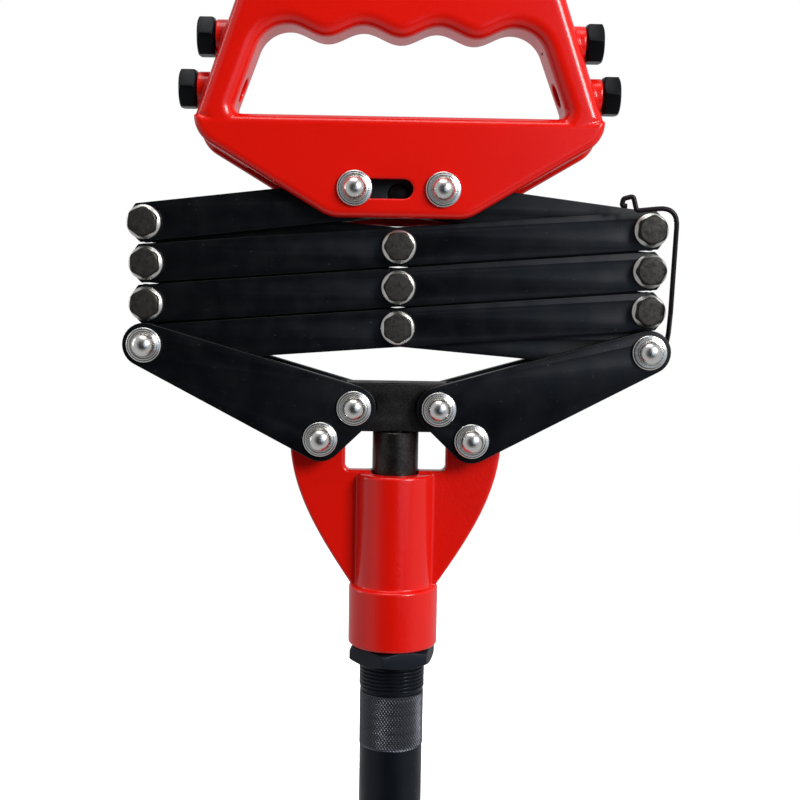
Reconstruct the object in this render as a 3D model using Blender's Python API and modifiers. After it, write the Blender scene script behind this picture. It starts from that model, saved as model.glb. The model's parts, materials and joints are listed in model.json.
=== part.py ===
"""Lazy tong hand riveter, folded shut.

Metres, Z up along the barrel, front at -Y, origin at the tip of the nosepiece.
A scalloped die-cast handle drives four rows of crossed tong links. They turn two bell-crank
levers on the ears of the housing, and the levers lift a crosshead, its pull rod and the jaws.

Each moving body has an empty on its joint axis, and its pieces are built in that empty's frame:
x along the link or lever, y across the plates, z up.
"""
import math

import bmesh
import bpy
from mathutils import Matrix, Vector

# Clearances
FACE_GAP = 0.0003           # between faces that bear on each other
HOLE_GAP = 0.0003           # between a pin and its hole, on the radius

# Plates, as layers either side of the middle plane
INNER_LINK_THICK = 0.0060
OUTER_LINK_THICK = 0.0035
LEVER_THICK = 0.0045
HANDLE_THICK = 0.0260
LINK_HALF_WIDTH = 0.00715
LINK_OVERHANG = 0.0056      # from the end hole to the tip of the link
LINK_END_RADIUS = 0.0100

# Linkage, seen from the front
LINK_ARM = 0.0968           # outer hole to centre hole of a tong link
ROW_GAP = 0.00123           # between the edges of two rows of links, measured upright
TOP_ARM_EXTRA = 0.00078     # the top pair's arm is longer by this, and lies a little steeper
TOP_LIFT = 0.00396          # how much more the top pair's arm rises than the others
TOP_STUB = 0.01685          # from the top crossing to the handle pins
RELIEF_GAP = 0.0005         # round a handle pin where it passes the other top link
RELIEF_TURN = math.radians(60.0)
TOP_PLAY = 0.0010           # extra radius of the hole where the top pair meets the second row
TONG_ROWS = 3
EAR_Z = 0.1900              # lever pivots above the nosepiece tip
EAR_HALF = 0.0291           # half the spacing of the lever pivots
LEVER_ANGLE = math.radians(27.54)
LEVER_OPENING = math.radians(50.0)
CRANK_IN = 0.0128           # crosshead pin from the lever pivot, inwards
CRANK_UP = 0.0121           # and upwards
LEVER_END_RADIUS = 0.0084
LEVER_EAR_RADIUS = 0.0087
LEVER_CRANK_RADIUS = 0.0085

# Pins, bolts and nuts
PIN_RADIUS = 0.0034
FLANGE_RADIUS = 0.00675
FLANGE_THICK = 0.0015
DOME_RADIUS = 0.0042
DOME_HEIGHT = 0.0042
SLEEVE_RADIUS = 0.0055      # shoulder that fills the inner layer on the outer tong pin
FLANGE_STEP = 0.0008        # the flange's upper edge falls away over this width
PIN_TAIL_RADIUS = 0.0052
PIN_TAIL_STEP = 0.0012
BOLT_RADIUS = 0.0040
BOLT_FLATS = 0.0130
BOLT_HEAD_HIGH = 0.0055
NUT_HIGH = 0.0062
BOLT_TAIL = 0.0012          # thread beyond the nut
CUT_PAST = 0.0010           # how far a cutter runs on beyond what it cuts

# Handle, heights above the handle pins
APRON_TOP = 0.0265
APRON_SHOULDER = 0.0195     # where the apron's slanting edges would meet its upright sides
APRON_SIDE_KEPT = 0.0003    # upright left above the wide rounding of that corner
APRON_BOTTOM = -0.0109
APRON_HALF_WIDTH = 0.0775
APRON_FLAT_HALF = 0.0262    # half the straight bottom edge, before rounding
APRON_CORNER = 0.0140
APRON_BEVEL = 0.0028
FRAME_TOP = 0.0822
FRAME_TOP_HALF = 0.0580
FRAME_CORNER = 0.0150
FRAME_BEVEL = 0.0052
OPENING_FLOOR = 0.0274
SIDE_RAIL = (0.0137, 0.0144)    # width of the frame's sides, at the opening's floor and at its top
OPENING_CORNER = 0.0025
SCALLOP_CREST = 0.0605      # top of the arches between the fingers
SCALLOP_DEPTH = 0.0043
SCALLOP_PITCH = 0.0283
LINK_CAVITY_TOP = 0.0088
HANDLE_SLOT_END = 0.0017    # centre of the slot's inner end from the handle's middle
SPARE_UPPER_Z = 0.0568
SPARE_LOWER_Z = 0.0372
SPARE_PROUD = 0.0036       # the spare hexagons' inner faces outside the frame's sides
SPARE_BOSS_RADIUS = 0.0066
SPARE_BOSS_ROOT = 0.0080    # how far a boss runs into the frame's side
APRON_OVERLAP = 0.0030      # the frame's floor bar inside the apron, below both its round edges
FRAME_END_INSET = 0.0016    # the ends of that bar inside the apron's slanting edges
FRAME_SIDE_INSET = 0.0004   # the frame's sides and faces inside the apron's, where the two join
FRAME_FACE_INSET = 0.0002
SCALLOP_SHOULDER = 0.0040   # how far below the crests the opening's sides end
SCALLOP_END_INSET = 0.0032  # the opening's upper corners, rounder than the sides' lines

# Housing casting, depths below the lever pivots
EAR_THICK = 0.0066
EAR_RADIUS = 0.0122
EAR_INSIDE = 0.0094          # from the pivot in to the ear's straight inner side
EAR_BOSS_RADIUS = 0.0060
NOTCH_DEPTH = 0.0131
NOTCH_FILLET = 0.0022
BOSS_TOP_DEPTH = 0.0142
BOSS_RADIUS = 0.01515
STEP_DEPTH = 0.0588
SOCKET_RADIUS = 0.0176
SOCKET_BOTTOM_DEPTH = 0.0825
SOCKET_BORE_TOP_DEPTH = 0.0627
WING_ROOT_DEPTH = 0.0610
WING_BEVEL = 0.0012
CAST_EDGE = 0.0008          # small flats on the casting's round edges
SOCKET_SHOULDER = 0.0018

# Crosshead, pull rod and barrel
CROSSHEAD_HALF_LONG = 0.0226
CROSSHEAD_HALF_HIGH = 0.0095
CROSSHEAD_BEVEL = 0.0007
CRANK_SLOT_RISE = 0.0006    # the crank pin's arc above a straight line
EAR_NOTCH_GAP = 0.0004      # crosshead to the ears that it slides over
ROD_RADIUS = 0.0090
ROD_NECK_RADIUS = 0.0055
ROD_NECK_LONG = 0.0110
ROD_GAP = 0.0004
THREAD_RADIUS = 0.0129
THREAD_LONG = 0.0385        # from the top of the barrel down to the knurl
KNURL_RADIUS = 0.0126
KNURL_LONG = 0.0218
TUBE_RADIUS = 0.0125
TUBE_BORE_RADIUS = 0.0098
TUBE_END_WALL = 0.0070
TUBE_NOSE_RADIUS = 0.0094
TUBE_NOSE_TAPER = 0.0110
THREAD_EDGE = 0.0004
LOCK_NUT_FLATS = 0.0310
LOCK_NUT_HIGH = 0.0068
LOCK_NUT_TURN = math.radians(-12.0)

# Nosepieces and jaws
NOSE_FLATS = 0.0140
NOSE_HEX_HIGH = 0.0066
SPIGOT_RADIUS = 0.0042
SPIGOT_LONG = 0.0085
SPIGOT_EDGE = 0.0008
NOSE_BORE_RADIUS = 0.0017   # the fitted nosepiece
SPARE_BORE_RADII = (0.0011, 0.0014, 0.0021, 0.0024)
JAW_CASE_RADIUS = 0.0093
JAW_CASE_LONG = 0.0400
JAW_CASE_MOUTH = 0.0034
JAW_CASE_BORE = 0.0070
JAW_CONE_LONG = 0.0200
JAW_CASE_EDGE = 0.0020
JAW_GAP = 0.00035
JAW_SPLIT = 0.0002          # half the gap between the two jaws
JAW_SHOWS = 0.0013          # how far the jaws stand out of their case
JAW_LONG = 0.0150
JAW_GRIP_RADIUS = 0.0013
JAW_CLEAR = 0.0010          # jaws to nosepiece with the rod fully down
JAW_TRAVEL = 0.0025
PUSHER_LONG = 0.0060
PUSHER_FLANGE = 0.0022
PUSHER_WALL = 0.0012
PUSHER_BORE_GAP = 0.0006    # mandrel to pusher, on the radius
SPRING_WIRE = 0.0007
SPRING_TURNS = 4
SPRING_STEPS = 8            # facets in one turn

# Wire latch on the right outer tong pin, from that pin's centre
LATCH_WIRE = 0.00115
LATCH_STANDOFF = 0.0080     # sideways, clear of the link ends
LATCH_FRONT = 0.0146        # forward, clear of the bolt heads
LATCH_JOG = (0.0088, 0.0160)
LATCH_BEND = 0.0016
LATCH_START = (-0.0012, 0.0012)     # where it leaves its eye: from the standoff, above the pin
LATCH_TOP = (0.0004, 0.0030)        # top of the upright: from the standoff, above the bolt
LATCH_LEAN = (-0.0026, -0.0010)     # where it turns over: from the standoff, above the hook
LATCH_OVER_BOLT = 0.0007    # the hook above the bolt head's top flat
# The hook over the bolt, as (sideways, above the hook's level)
LATCH_HOOK = ((0.0018, 0.0), (-0.0040, -0.0012), (-0.0062, 0.0004), (-0.0078, 0.0050),
              (-0.0118, 0.0030), (-0.0116, 0.0012))

# Facets
HOLE_STEPS = 12
PIN_STEPS = 12
ROUND_STEPS = 20
CHAMFER_STEPS = 12
BARREL_STEPS = 24

# Derived: the layers
INNER_FACE = INNER_LINK_THICK / 2
OUTER_BACK = INNER_FACE + FACE_GAP
OUTER_FACE = OUTER_BACK + OUTER_LINK_THICK
LEVER_BACK = OUTER_FACE + FACE_GAP
LEVER_FACE = LEVER_BACK + LEVER_THICK
HANDLE_FACE = HANDLE_THICK / 2

# Derived: the linkage at rest
TONG_RISE = LINK_HALF_WIDTH + ROW_GAP / 2
TONG_ANGLE = math.asin(TONG_RISE / LINK_ARM)
TONG_HALF = LINK_ARM * math.cos(TONG_ANGLE)
TOP_ARM = LINK_ARM + TOP_ARM_EXTRA
TOP_ANGLE = math.asin((TONG_RISE + TOP_LIFT) / TOP_ARM)
LEVER_ARM = (TONG_HALF - EAR_HALF) / math.cos(LEVER_ANGLE)
LEVER_END_Z = EAR_Z + LEVER_ARM * math.sin(LEVER_ANGLE)
TOP_X = TONG_HALF - TOP_ARM * math.cos(TOP_ANGLE)
TOP_Z = LEVER_END_Z + 2 * TONG_ROWS * TONG_RISE + TOP_ARM * math.sin(TOP_ANGLE)
STUB_HALF = TOP_STUB * math.cos(TOP_ANGLE)
HANDLE_Z = TOP_Z + TOP_STUB * math.sin(TOP_ANGLE)

# Derived: the handle's slanting sides, measured from its middle
SIDE_LEAN = (APRON_HALF_WIDTH - FRAME_TOP_HALF) / (FRAME_TOP - APRON_TOP)


def side_half(level):
    """Half the handle's width at a height above its pins."""
    return APRON_HALF_WIDTH - SIDE_LEAN * (level - APRON_TOP)


OPENING_FLOOR_HALF = side_half(OPENING_FLOOR) - SIDE_RAIL[0]
OPENING_TOP_HALF = side_half(SCALLOP_CREST) - SIDE_RAIL[1]

# Derived: the crank's stroke, and what it lifts
CRANK = math.hypot(CRANK_IN, CRANK_UP)
CRANK_REST = math.atan2(CRANK_UP, CRANK_IN)
STROKE = CRANK_UP - CRANK * math.sin(CRANK_REST - LEVER_OPENING)
CRANK_HALF = EAR_HALF - CRANK_IN
CRANK_HALF_LEAST = EAR_HALF - CRANK
CROSSHEAD_Z = EAR_Z + CRANK_UP
SPIGOT_TOP = NOSE_HEX_HIGH + SPIGOT_LONG
JAW_CASE_Z = SPIGOT_TOP + STROKE + JAW_CLEAR + JAW_SHOWS
JAW_CASE_TOP = JAW_CASE_Z + JAW_CASE_LONG
ROD_END_Z = JAW_CASE_TOP - ROD_NECK_LONG


def tong_side_z(row):
    """Height of the outer bolts of a row, row 1 at the top."""
    return LEVER_END_Z + 2 * (TONG_ROWS + 1 - row) * TONG_RISE


def tong_centre_z(row):
    return tong_side_z(row) - TONG_RISE


# Scene, materials and pivots

for leftover in list(bpy.data.objects):
    bpy.data.objects.remove(leftover, do_unlink=True)

PARTS = bpy.data.collections.new("lazy_tong_riveter")
CUTTERS = bpy.data.collections.new("cutters")
for group in (PARTS, CUTTERS):
    bpy.context.scene.collection.children.link(group)


def material(name, colour, roughness, metallic):
    made = bpy.data.materials.new(name)
    made.use_nodes = True
    shader = made.node_tree.nodes["Principled BSDF"]
    shader.inputs["Base Color"].default_value = (*colour, 1.0)
    shader.inputs["Roughness"].default_value = roughness
    shader.inputs["Metallic"].default_value = metallic
    made.diffuse_color = (*colour, 1.0)
    return made


RED_ENAMEL = material("red_enamel", (0.72, 0.010, 0.006), 0.32, 0.0)
BLACK_STEEL = material("blackened_steel", (0.010, 0.012, 0.016), 0.42, 0.6)
ZINC_STEEL = material("zinc_plated_steel", (0.62, 0.62, 0.60), 0.20, 1.0)
DARK_BOLT = material("phosphated_bolt_steel", (0.055, 0.052, 0.048), 0.45, 0.8)
GREY_STEEL = material("ground_grey_steel", (0.10, 0.10, 0.10), 0.40, 0.9)
SPRING_STEEL = material("spring_steel", (0.30, 0.30, 0.31), 0.30, 1.0)


def pivot(name, x, z, angle=0.0, parent=None):
    """An empty on a joint axis. A positive angle lifts the +x side, seen from the front."""
    empty = bpy.data.objects.new(name, None)
    empty.empty_display_size = 0.01
    empty.matrix_basis = Matrix.Translation((x, 0, z)) @ Matrix.Rotation(-angle, 4, "Y")
    PARTS.objects.link(empty)
    if parent:
        empty.parent = parent
        empty.matrix_parent_inverse = parent.matrix_world.inverted()
    bpy.context.view_layer.update()
    return empty


# Shapes

def from_bmesh(name, shape):
    bmesh.ops.recalc_face_normals(shape, faces=shape.faces)
    mesh = bpy.data.meshes.new(name)
    shape.to_mesh(mesh)
    shape.free()
    made = bpy.data.objects.new(name, mesh)
    PARTS.objects.link(made)
    return made


def bake(shape):
    """Replaces an object's mesh or curve by its evaluated, welded mesh."""
    bpy.context.view_layer.update()
    graph = bpy.context.evaluated_depsgraph_get()
    mesh = bpy.data.meshes.new_from_object(shape.evaluated_get(graph))
    welded = bmesh.new()
    welded.from_mesh(mesh)
    bmesh.ops.remove_doubles(welded, verts=welded.verts, dist=1e-6)
    made = from_bmesh(shape.name, welded)
    made.matrix_world = shape.matrix_world
    name = shape.name
    bpy.data.objects.remove(shape)
    made.name = name
    return made


def box(name, low, high):
    shape = bmesh.new()
    bmesh.ops.create_cube(shape, size=1.0)
    low, high = Vector(low), Vector(high)
    for vert in shape.verts:
        vert.co = Vector((low + high) / 2) + vert.co * (high - low)
    return from_bmesh(name, shape)


AXES = {
    "Z": Matrix.Identity(4),
    "Y": Matrix.Rotation(math.pi / 2, 4, "X"),      # profile heights run towards the front
    "X": Matrix.Rotation(math.pi / 2, 4, "Y"),
    "-X": Matrix.Rotation(-math.pi / 2, 4, "Y"),
}


def turned(name, profile, steps=ROUND_STEPS, axis="Z", at=(0, 0, 0), closed=False):
    """Turns (radius, height) points about an axis. A closed profile makes a tube."""
    mesh = bpy.data.meshes.new(name)
    count = len(profile)
    edges = [(i, i + 1) for i in range(count - 1)] + ([(count - 1, 0)] if closed else [])
    mesh.from_pydata([(radius, 0, height) for radius, height in profile], edges, [])
    shape = bpy.data.objects.new(name, mesh)
    PARTS.objects.link(shape)
    screw = shape.modifiers.new("Turn", "SCREW")
    screw.steps = screw.render_steps = steps
    screw.use_merge_vertices = True
    screw.merge_threshold = 1e-5
    shape = bake(shape)
    shape.data.transform(Matrix.Translation(at) @ AXES[axis])
    return shape


def cylinder(name, radius, low, high, steps=ROUND_STEPS, axis="Z", at=(0, 0, 0)):
    shape = bmesh.new()
    bmesh.ops.create_cone(shape, cap_ends=True, segments=steps, radius1=radius, radius2=radius,
                          depth=high - low)
    made = from_bmesh(name, shape)
    made.data.transform(Matrix.Translation(at) @ AXES[axis]
                        @ Matrix.Translation((0, 0, (low + high) / 2)))
    return made


def hexagon(name, flats, low, high, axis="Z", at=(0, 0, 0), turn=0.0, chamfered=(True, True)):
    """A hexagonal prism whose corners are turned off at the chamfered ends, low and high."""
    shape = bmesh.new()
    corner = flats / math.sqrt(3)
    bmesh.ops.create_cone(shape, cap_ends=True, segments=6, radius1=corner, radius2=corner,
                          depth=high - low)
    made = from_bmesh(name, shape)
    made.data.transform(Matrix.Rotation(turn, 4, "Z"))
    made.data.transform(Matrix.Translation((0, 0, (low + high) / 2)))
    edge = flats / 2 * 0.99
    outer = corner * 1.02
    fall = (outer - edge) * math.tan(math.radians(30))
    profile = [(0, high), (edge if chamfered[1] else outer, high)]
    profile += [(outer, high - fall)] if chamfered[1] else []
    profile += [(outer, low + fall)] if chamfered[0] else []
    profile += [(edge if chamfered[0] else outer, low), (0, low)]
    boolean(made, turned(name + "_chamfer", profile, CHAMFER_STEPS), "INTERSECT")
    made = bake(made)
    made.data.transform(Matrix.Translation(at) @ AXES[axis])
    return made


def slab(name, loops, front, back, bevel=0.0, bevel_steps=1):
    """A flat plate between two depths from closed (x, z) loops; inner loops are holes."""
    curve = bpy.data.curves.new(name, "CURVE")
    curve.dimensions = "2D"
    curve.fill_mode = "BOTH"
    for loop in loops:
        spline = curve.splines.new("POLY")
        spline.points.add(len(loop) - 1)
        for point, (x, z) in zip(spline.points, loop):
            point.co = (x, z, 0, 1)
        spline.use_cyclic_u = True
    curve.extrude = abs(back - front) / 2 - bevel
    curve.bevel_depth = bevel
    curve.bevel_resolution = bevel_steps
    curve.offset = -bevel
    shape = bpy.data.objects.new(name, curve)
    PARTS.objects.link(shape)
    shape = bake(shape)
    shape.data.transform(Matrix.Translation((0, (front + back) / 2, 0)) @ AXES["Y"])
    return shape


def boolean(target, tool, operation="DIFFERENCE"):
    step = target.modifiers.new(tool.name, "BOOLEAN")
    step.operation = operation
    step.solver = "EXACT"
    step.object = tool
    PARTS.objects.unlink(tool)
    CUTTERS.objects.link(tool)
    tool.hide_render = True
    tool.display_type = "WIRE"
    return target


def place(shape, finish, body=None, sharp=35.0):
    """Bakes a piece, gives it its finish and hangs it on its body's empty."""
    used = [step.object for step in shape.modifiers if step.type == "BOOLEAN"]
    shape = bake(shape)
    for tool in used:
        bpy.data.objects.remove(tool)
    shape.data.materials.clear()
    shape.data.materials.append(finish)
    shape.data.shade_smooth()
    shape.data.set_sharp_from_angle(angle=math.radians(sharp))
    if body:
        shape.parent = body
    return shape


def twin(source, name, body, at=(0, 0, 0)):
    """Another copy of a finished piece, sharing its mesh."""
    made = bpy.data.objects.new(name, source.data)
    PARTS.objects.link(made)
    made.parent = body
    made.location = at
    return made


# Outlines in the x, z plane

def arc(x, z, radius, start, end, steps):
    return [(x + radius * math.cos(start + (end - start) * i / steps),
             z + radius * math.sin(start + (end - start) * i / steps)) for i in range(steps + 1)]


def circle(x, z, radius, steps=HOLE_STEPS):
    return arc(x, z, radius, 0, math.tau * (steps - 1) / steps, steps - 1)


def obround(x_low, x_high, z_low, z_high, steps=8):
    """A slot with round ends, longer than it is high."""
    radius = (z_high - z_low) / 2
    middle = (z_low + z_high) / 2
    return (arc(x_high - radius, middle, radius, -math.pi / 2, math.pi / 2, steps)
            + arc(x_low + radius, middle, radius, math.pi / 2, 3 * math.pi / 2, steps))


def rounded(corners, steps=5):
    """A closed outline from (x, z, radius) corners, each rounded by its radius."""
    points = []
    for index, (x, z, radius) in enumerate(corners):
        here = Vector((x, z))
        before = Vector(corners[index - 1][:2]) - here
        after = Vector(corners[(index + 1) % len(corners)][:2]) - here
        if radius == 0:
            points.append((x, z))
            continue
        half = before.angle(after) / 2
        along = radius / math.tan(half)
        centre = here + (before.normalized() + after.normalized()).normalized() * radius / math.sin(half)
        start = here + before.normalized() * along - centre
        end = here + after.normalized() * along - centre
        turn = start.angle_signed(end)
        for step in range(steps + 1):
            offset = start.copy()
            offset.rotate(Matrix.Rotation(-turn * step / steps, 2))
            points.append(tuple(centre + offset))
    return points


def hull(circles, steps=6):
    """The outline round circles (x, z, radius) given counter-clockwise."""
    points = []
    count = len(circles)
    normals = []
    for index in range(count):
        x0, z0, r0 = circles[index]
        x1, z1, r1 = circles[(index + 1) % count]
        along = Vector((x1 - x0, z1 - z0))
        lean = math.acos((r0 - r1) / along.length)
        normals.append(math.atan2(along.y, along.x) - lean)
    for index in range(count):
        start, end = normals[index - 1], normals[index]
        while end < start:
            end += math.tau
        x, z, radius = circles[index]
        points += arc(x, z, radius, start, end, steps)
    return points


def relief(centre_x, start, end):
    """An open channel, along an arc round a crossing, that lets the other link's pin pass."""
    half = PIN_RADIUS + RELIEF_GAP
    nose_x = centre_x + TOP_STUB * math.cos(start)
    nose_z = TOP_STUB * math.sin(start)
    way = math.copysign(math.pi, start - end)
    return (arc(centre_x, 0, TOP_STUB + half, end, start, 8)
            + arc(nose_x, nose_z, half, start, start + way, 8)[1:-1]
            + arc(centre_x, 0, TOP_STUB - half, start, end, 8))


def link_outline(first, last, steps=5):
    """A tong link from its first to its last hole, with shallow arcs for ends."""
    spread = math.asin(LINK_HALF_WIDTH / LINK_END_RADIUS)
    set_in = LINK_END_RADIUS - LINK_OVERHANG
    return (arc(last - set_in, 0, LINK_END_RADIUS, -spread, spread, steps)
            + arc(first + set_in, 0, LINK_END_RADIUS, math.pi - spread, math.pi + spread, steps))


# Bodies, each on its joint axis, nested as the linkage carries them

HOUSING = pivot("housing_origin", 0, 0)
PULL = pivot("pull_slide", 0, CROSSHEAD_Z, parent=HOUSING)
JAWS = pivot("jaw_slide", 0, JAW_CASE_Z, parent=PULL)
LEVER_LEFT = pivot("lever_left_pivot", -EAR_HALF, EAR_Z, parent=HOUSING)
LEVER_RIGHT = pivot("lever_right_pivot", EAR_HALF, EAR_Z, parent=HOUSING)
LATCH = pivot("latch_pivot", TONG_HALF, LEVER_END_Z, parent=LEVER_RIGHT)
OUTER_3 = pivot("outer_pair_3_pivot", -TONG_HALF, LEVER_END_Z, TONG_ANGLE, LEVER_LEFT)
INNER_3 = pivot("inner_link_3_pivot", 0, tong_centre_z(3), -TONG_ANGLE, OUTER_3)
INNER_2 = pivot("inner_link_2_pivot", TONG_HALF, tong_side_z(3), -TONG_ANGLE, OUTER_3)
OUTER_2 = pivot("outer_pair_2_pivot", 0, tong_centre_z(2), TONG_ANGLE, INNER_2)
OUTER_1 = pivot("outer_pair_1_pivot", -TONG_HALF, tong_side_z(2), TONG_ANGLE, INNER_2)
INNER_1 = pivot("inner_link_1_pivot", 0, tong_centre_z(1), -TONG_ANGLE, OUTER_1)
INNER_TOP = pivot("inner_link_top_pivot", TONG_HALF, tong_side_z(1), -TOP_ANGLE, OUTER_1)
OUTER_TOP = pivot("outer_pair_top_pivot", TOP_X, TOP_Z, TOP_ANGLE, INNER_TOP)
HANDLE = pivot("handle_pivot", TOP_X + STUB_HALF, HANDLE_Z, parent=OUTER_TOP)


# Tong links

BOLT_HOLE = BOLT_RADIUS + HOLE_GAP
PIN_HOLE = PIN_RADIUS + HOLE_GAP


def link_plate(name, holes, front, back, body):
    """A straight link; holes are (x, radius) from one end to the other."""
    loops = [link_outline(holes[0][0], holes[-1][0])]
    loops += [circle(x, 0, radius) for x, radius in holes if radius]
    return place(slab(name, loops, front, back), BLACK_STEEL, body)


OUTER_SIDES = (("front", -OUTER_FACE, -OUTER_BACK), ("back", OUTER_BACK, OUTER_FACE))


def outer_pair(row, holes, body):
    for side, front, back in OUTER_SIDES:
        link_plate(f"tong_link_{row}_{side}", holes, front, back, body)


def tong_links():
    arm = LINK_ARM
    outer_pair("outer_3", [(0, PIN_HOLE), (arm, BOLT_HOLE), (2 * arm, BOLT_HOLE)], OUTER_3)
    outer_pair("outer_2", [(-arm, BOLT_HOLE), (0, BOLT_HOLE), (arm, BOLT_HOLE)], OUTER_2)
    outer_pair("outer_1", [(0, BOLT_HOLE), (arm, BOLT_HOLE), (2 * arm, BOLT_HOLE)], OUTER_1)
    rest_turn = 2 * TOP_ANGLE
    holes = [(-TOP_ARM, BOLT_HOLE), (0, BOLT_HOLE), (TOP_STUB, PIN_HOLE)]
    for side, front, back in OUTER_SIDES:
        name = f"tong_link_outer_top_{side}"
        loops = [link_outline(-TOP_ARM, TOP_STUB)] + [circle(x, 0, radius) for x, radius in holes]
        link = slab(name, loops, front, back)
        channel = relief(0, math.pi - rest_turn, math.pi - rest_turn - RELIEF_TURN)
        boolean(link, slab(name + "_relief", [channel], front - CUT_PAST, back + CUT_PAST))
        place(link, BLACK_STEEL, OUTER_TOP)
    inner = (-INNER_FACE, INNER_FACE)
    link_plate("tong_link_inner_3", [(-arm, BOLT_HOLE), (0, BOLT_HOLE), (arm, PIN_HOLE)],
               *inner, INNER_3)
    link_plate("tong_link_inner_2", [(-2 * arm, BOLT_HOLE), (-arm, BOLT_HOLE), (0, BOLT_HOLE)],
               *inner, INNER_2)
    link_plate("tong_link_inner_1", [(-arm, BOLT_HOLE + TOP_PLAY), (0, BOLT_HOLE), (arm, BOLT_HOLE)],
               *inner, INNER_1)
    # The top inner link carries the flush rivet of the top crossing
    holes = [(-TOP_ARM - TOP_STUB, PIN_HOLE), (0, BOLT_HOLE)]
    loops = [link_outline(holes[0][0], 0)] + [circle(x, 0, radius) for x, radius in holes]
    link = slab("tong_link_inner_top", loops, *inner)
    channel = relief(-TOP_ARM, rest_turn, rest_turn + RELIEF_TURN)
    boolean(link, slab("tong_link_inner_top_relief", [channel], -OUTER_FACE, OUTER_FACE))
    flush = OUTER_FACE - FACE_GAP
    boolean(link, cylinder("top_rivet", BOLT_RADIUS, -flush, flush, PIN_STEPS, "Y",
                           (-TOP_ARM, 0, 0)), "UNION")
    place(link, BLACK_STEEL, INNER_TOP)


# Bolts and nuts at the crossings

def tong_bolts():
    head = LEVER_BACK
    tail = -(LEVER_BACK + NUT_HIGH + BOLT_TAIL)
    flats_level = math.pi / 6
    bolt = hexagon("tong_bolt_centre_1", BOLT_FLATS, head, head + BOLT_HEAD_HIGH, "Y",
                   turn=flats_level, chamfered=(False, True))
    boolean(bolt, cylinder("shank", BOLT_RADIUS, tail, head + BOLT_HEAD_HIGH / 2, PIN_STEPS, "Y"),
            "UNION")
    nut = hexagon("tong_nut_centre_1", BOLT_FLATS, -LEVER_BACK - NUT_HIGH, -LEVER_BACK, "Y",
                  turn=flats_level, chamfered=(True, False))
    boolean(nut, cylinder("nut_bore", BOLT_HOLE, tail, head, PIN_STEPS, "Y"))
    bolt = place(bolt, DARK_BOLT, OUTER_1)
    nut = place(nut, DARK_BOLT, OUTER_1)
    bolt.location = nut.location = (LINK_ARM, 0, 0)
    arm = LINK_ARM
    stations = [("centre_2", OUTER_2, 0), ("centre_3", OUTER_3, arm),
                ("left_1", OUTER_TOP, -TOP_ARM), ("left_2", OUTER_1, 0), ("left_3", OUTER_2, -arm),
                ("right_1", OUTER_1, 2 * arm), ("right_2", OUTER_2, arm), ("right_3", OUTER_3, 2 * arm)]
    for station, body, x in stations:
        twin(bolt, f"tong_bolt_{station}", body, (x, 0, 0))
        twin(nut, f"tong_nut_{station}", body, (x, 0, 0))


# Domed pins

def dome_profile(face):
    """Flange and dome in front of a face, from the tip down to the pin."""
    top = face + FACE_GAP + FLANGE_THICK
    dome = [(DOME_RADIUS * math.sin(a), top + DOME_HEIGHT * math.cos(a))
            for a in (0, math.radians(32), math.radians(60), math.radians(90))]
    return dome + [(FLANGE_RADIUS - FLANGE_STEP, top), (FLANGE_RADIUS, top - FLANGE_STEP),
                   (FLANGE_RADIUS, face + FACE_GAP), (PIN_RADIUS, face + FACE_GAP)]


def tail_profile(face):
    """The peened head behind a face."""
    back = -face - FACE_GAP
    foot = back - FLANGE_THICK
    return [(PIN_RADIUS, back), (PIN_TAIL_RADIUS, back), (PIN_TAIL_RADIUS, foot + PIN_TAIL_STEP / 2),
            (PIN_TAIL_RADIUS - PIN_TAIL_STEP, foot), (0, foot)]


def domed_pin(name, face, body, at=(0, 0, 0), shoulder=0.0):
    sleeve = []
    if shoulder:
        sleeve = [(PIN_RADIUS, INNER_FACE), (shoulder, INNER_FACE),
                  (shoulder, -INNER_FACE), (PIN_RADIUS, -INNER_FACE)]
    pin = turned(name, dome_profile(face) + sleeve + tail_profile(face), PIN_STEPS, "Y", at)
    return place(pin, ZINC_STEEL, body)


def pins():
    for side, sign, lever in (("left", -1, LEVER_LEFT), ("right", 1, LEVER_RIGHT)):
        domed_pin(f"ear_pin_{side}", LEVER_FACE, HOUSING, (sign * EAR_HALF, 0, EAR_Z))
        domed_pin(f"crosshead_pin_{side}", LEVER_FACE, lever, (-sign * CRANK_IN, 0, CRANK_UP))
    reach = TONG_HALF - EAR_HALF
    end = (-reach, 0, LEVER_END_Z - EAR_Z)
    domed_pin("tong_pin_left", LEVER_FACE, LEVER_LEFT, end, SLEEVE_RADIUS)
    # The right outer pin is two stubs that stop at the inner link's faces
    front = dome_profile(LEVER_FACE) + [(PIN_RADIUS, OUTER_BACK), (0, OUTER_BACK)]
    place(turned("tong_pin_right_front", front, PIN_STEPS, "Y", (reach, 0, end[2])), ZINC_STEEL,
          LEVER_RIGHT)
    back = [(0, -OUTER_BACK), (PIN_RADIUS, -OUTER_BACK)] + tail_profile(LEVER_FACE)
    place(turned("tong_pin_right_back", back, PIN_STEPS, "Y", (reach, 0, end[2])), ZINC_STEEL,
          LEVER_RIGHT)
    domed_pin("handle_pin_fixed", HANDLE_FACE, HANDLE)
    domed_pin("handle_pin_sliding", HANDLE_FACE, INNER_TOP, (-TOP_ARM - TOP_STUB, 0, 0))


# Levers

def lever_plate(name, sign, front, back, body):
    end = (sign * (TONG_HALF - EAR_HALF), LEVER_END_Z - EAR_Z)
    crank = (-sign * CRANK_IN, CRANK_UP)
    circles = [(0, 0, LEVER_EAR_RADIUS), (*end, LEVER_END_RADIUS), (*crank, LEVER_CRANK_RADIUS)]
    if sign < 0:
        circles = [circles[0], circles[2], circles[1]]
    loops = [hull(circles)] + [circle(x, z, PIN_HOLE) for x, z in ((0, 0), end, crank)]
    place(slab(name, loops, front, back), BLACK_STEEL, body)


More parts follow.
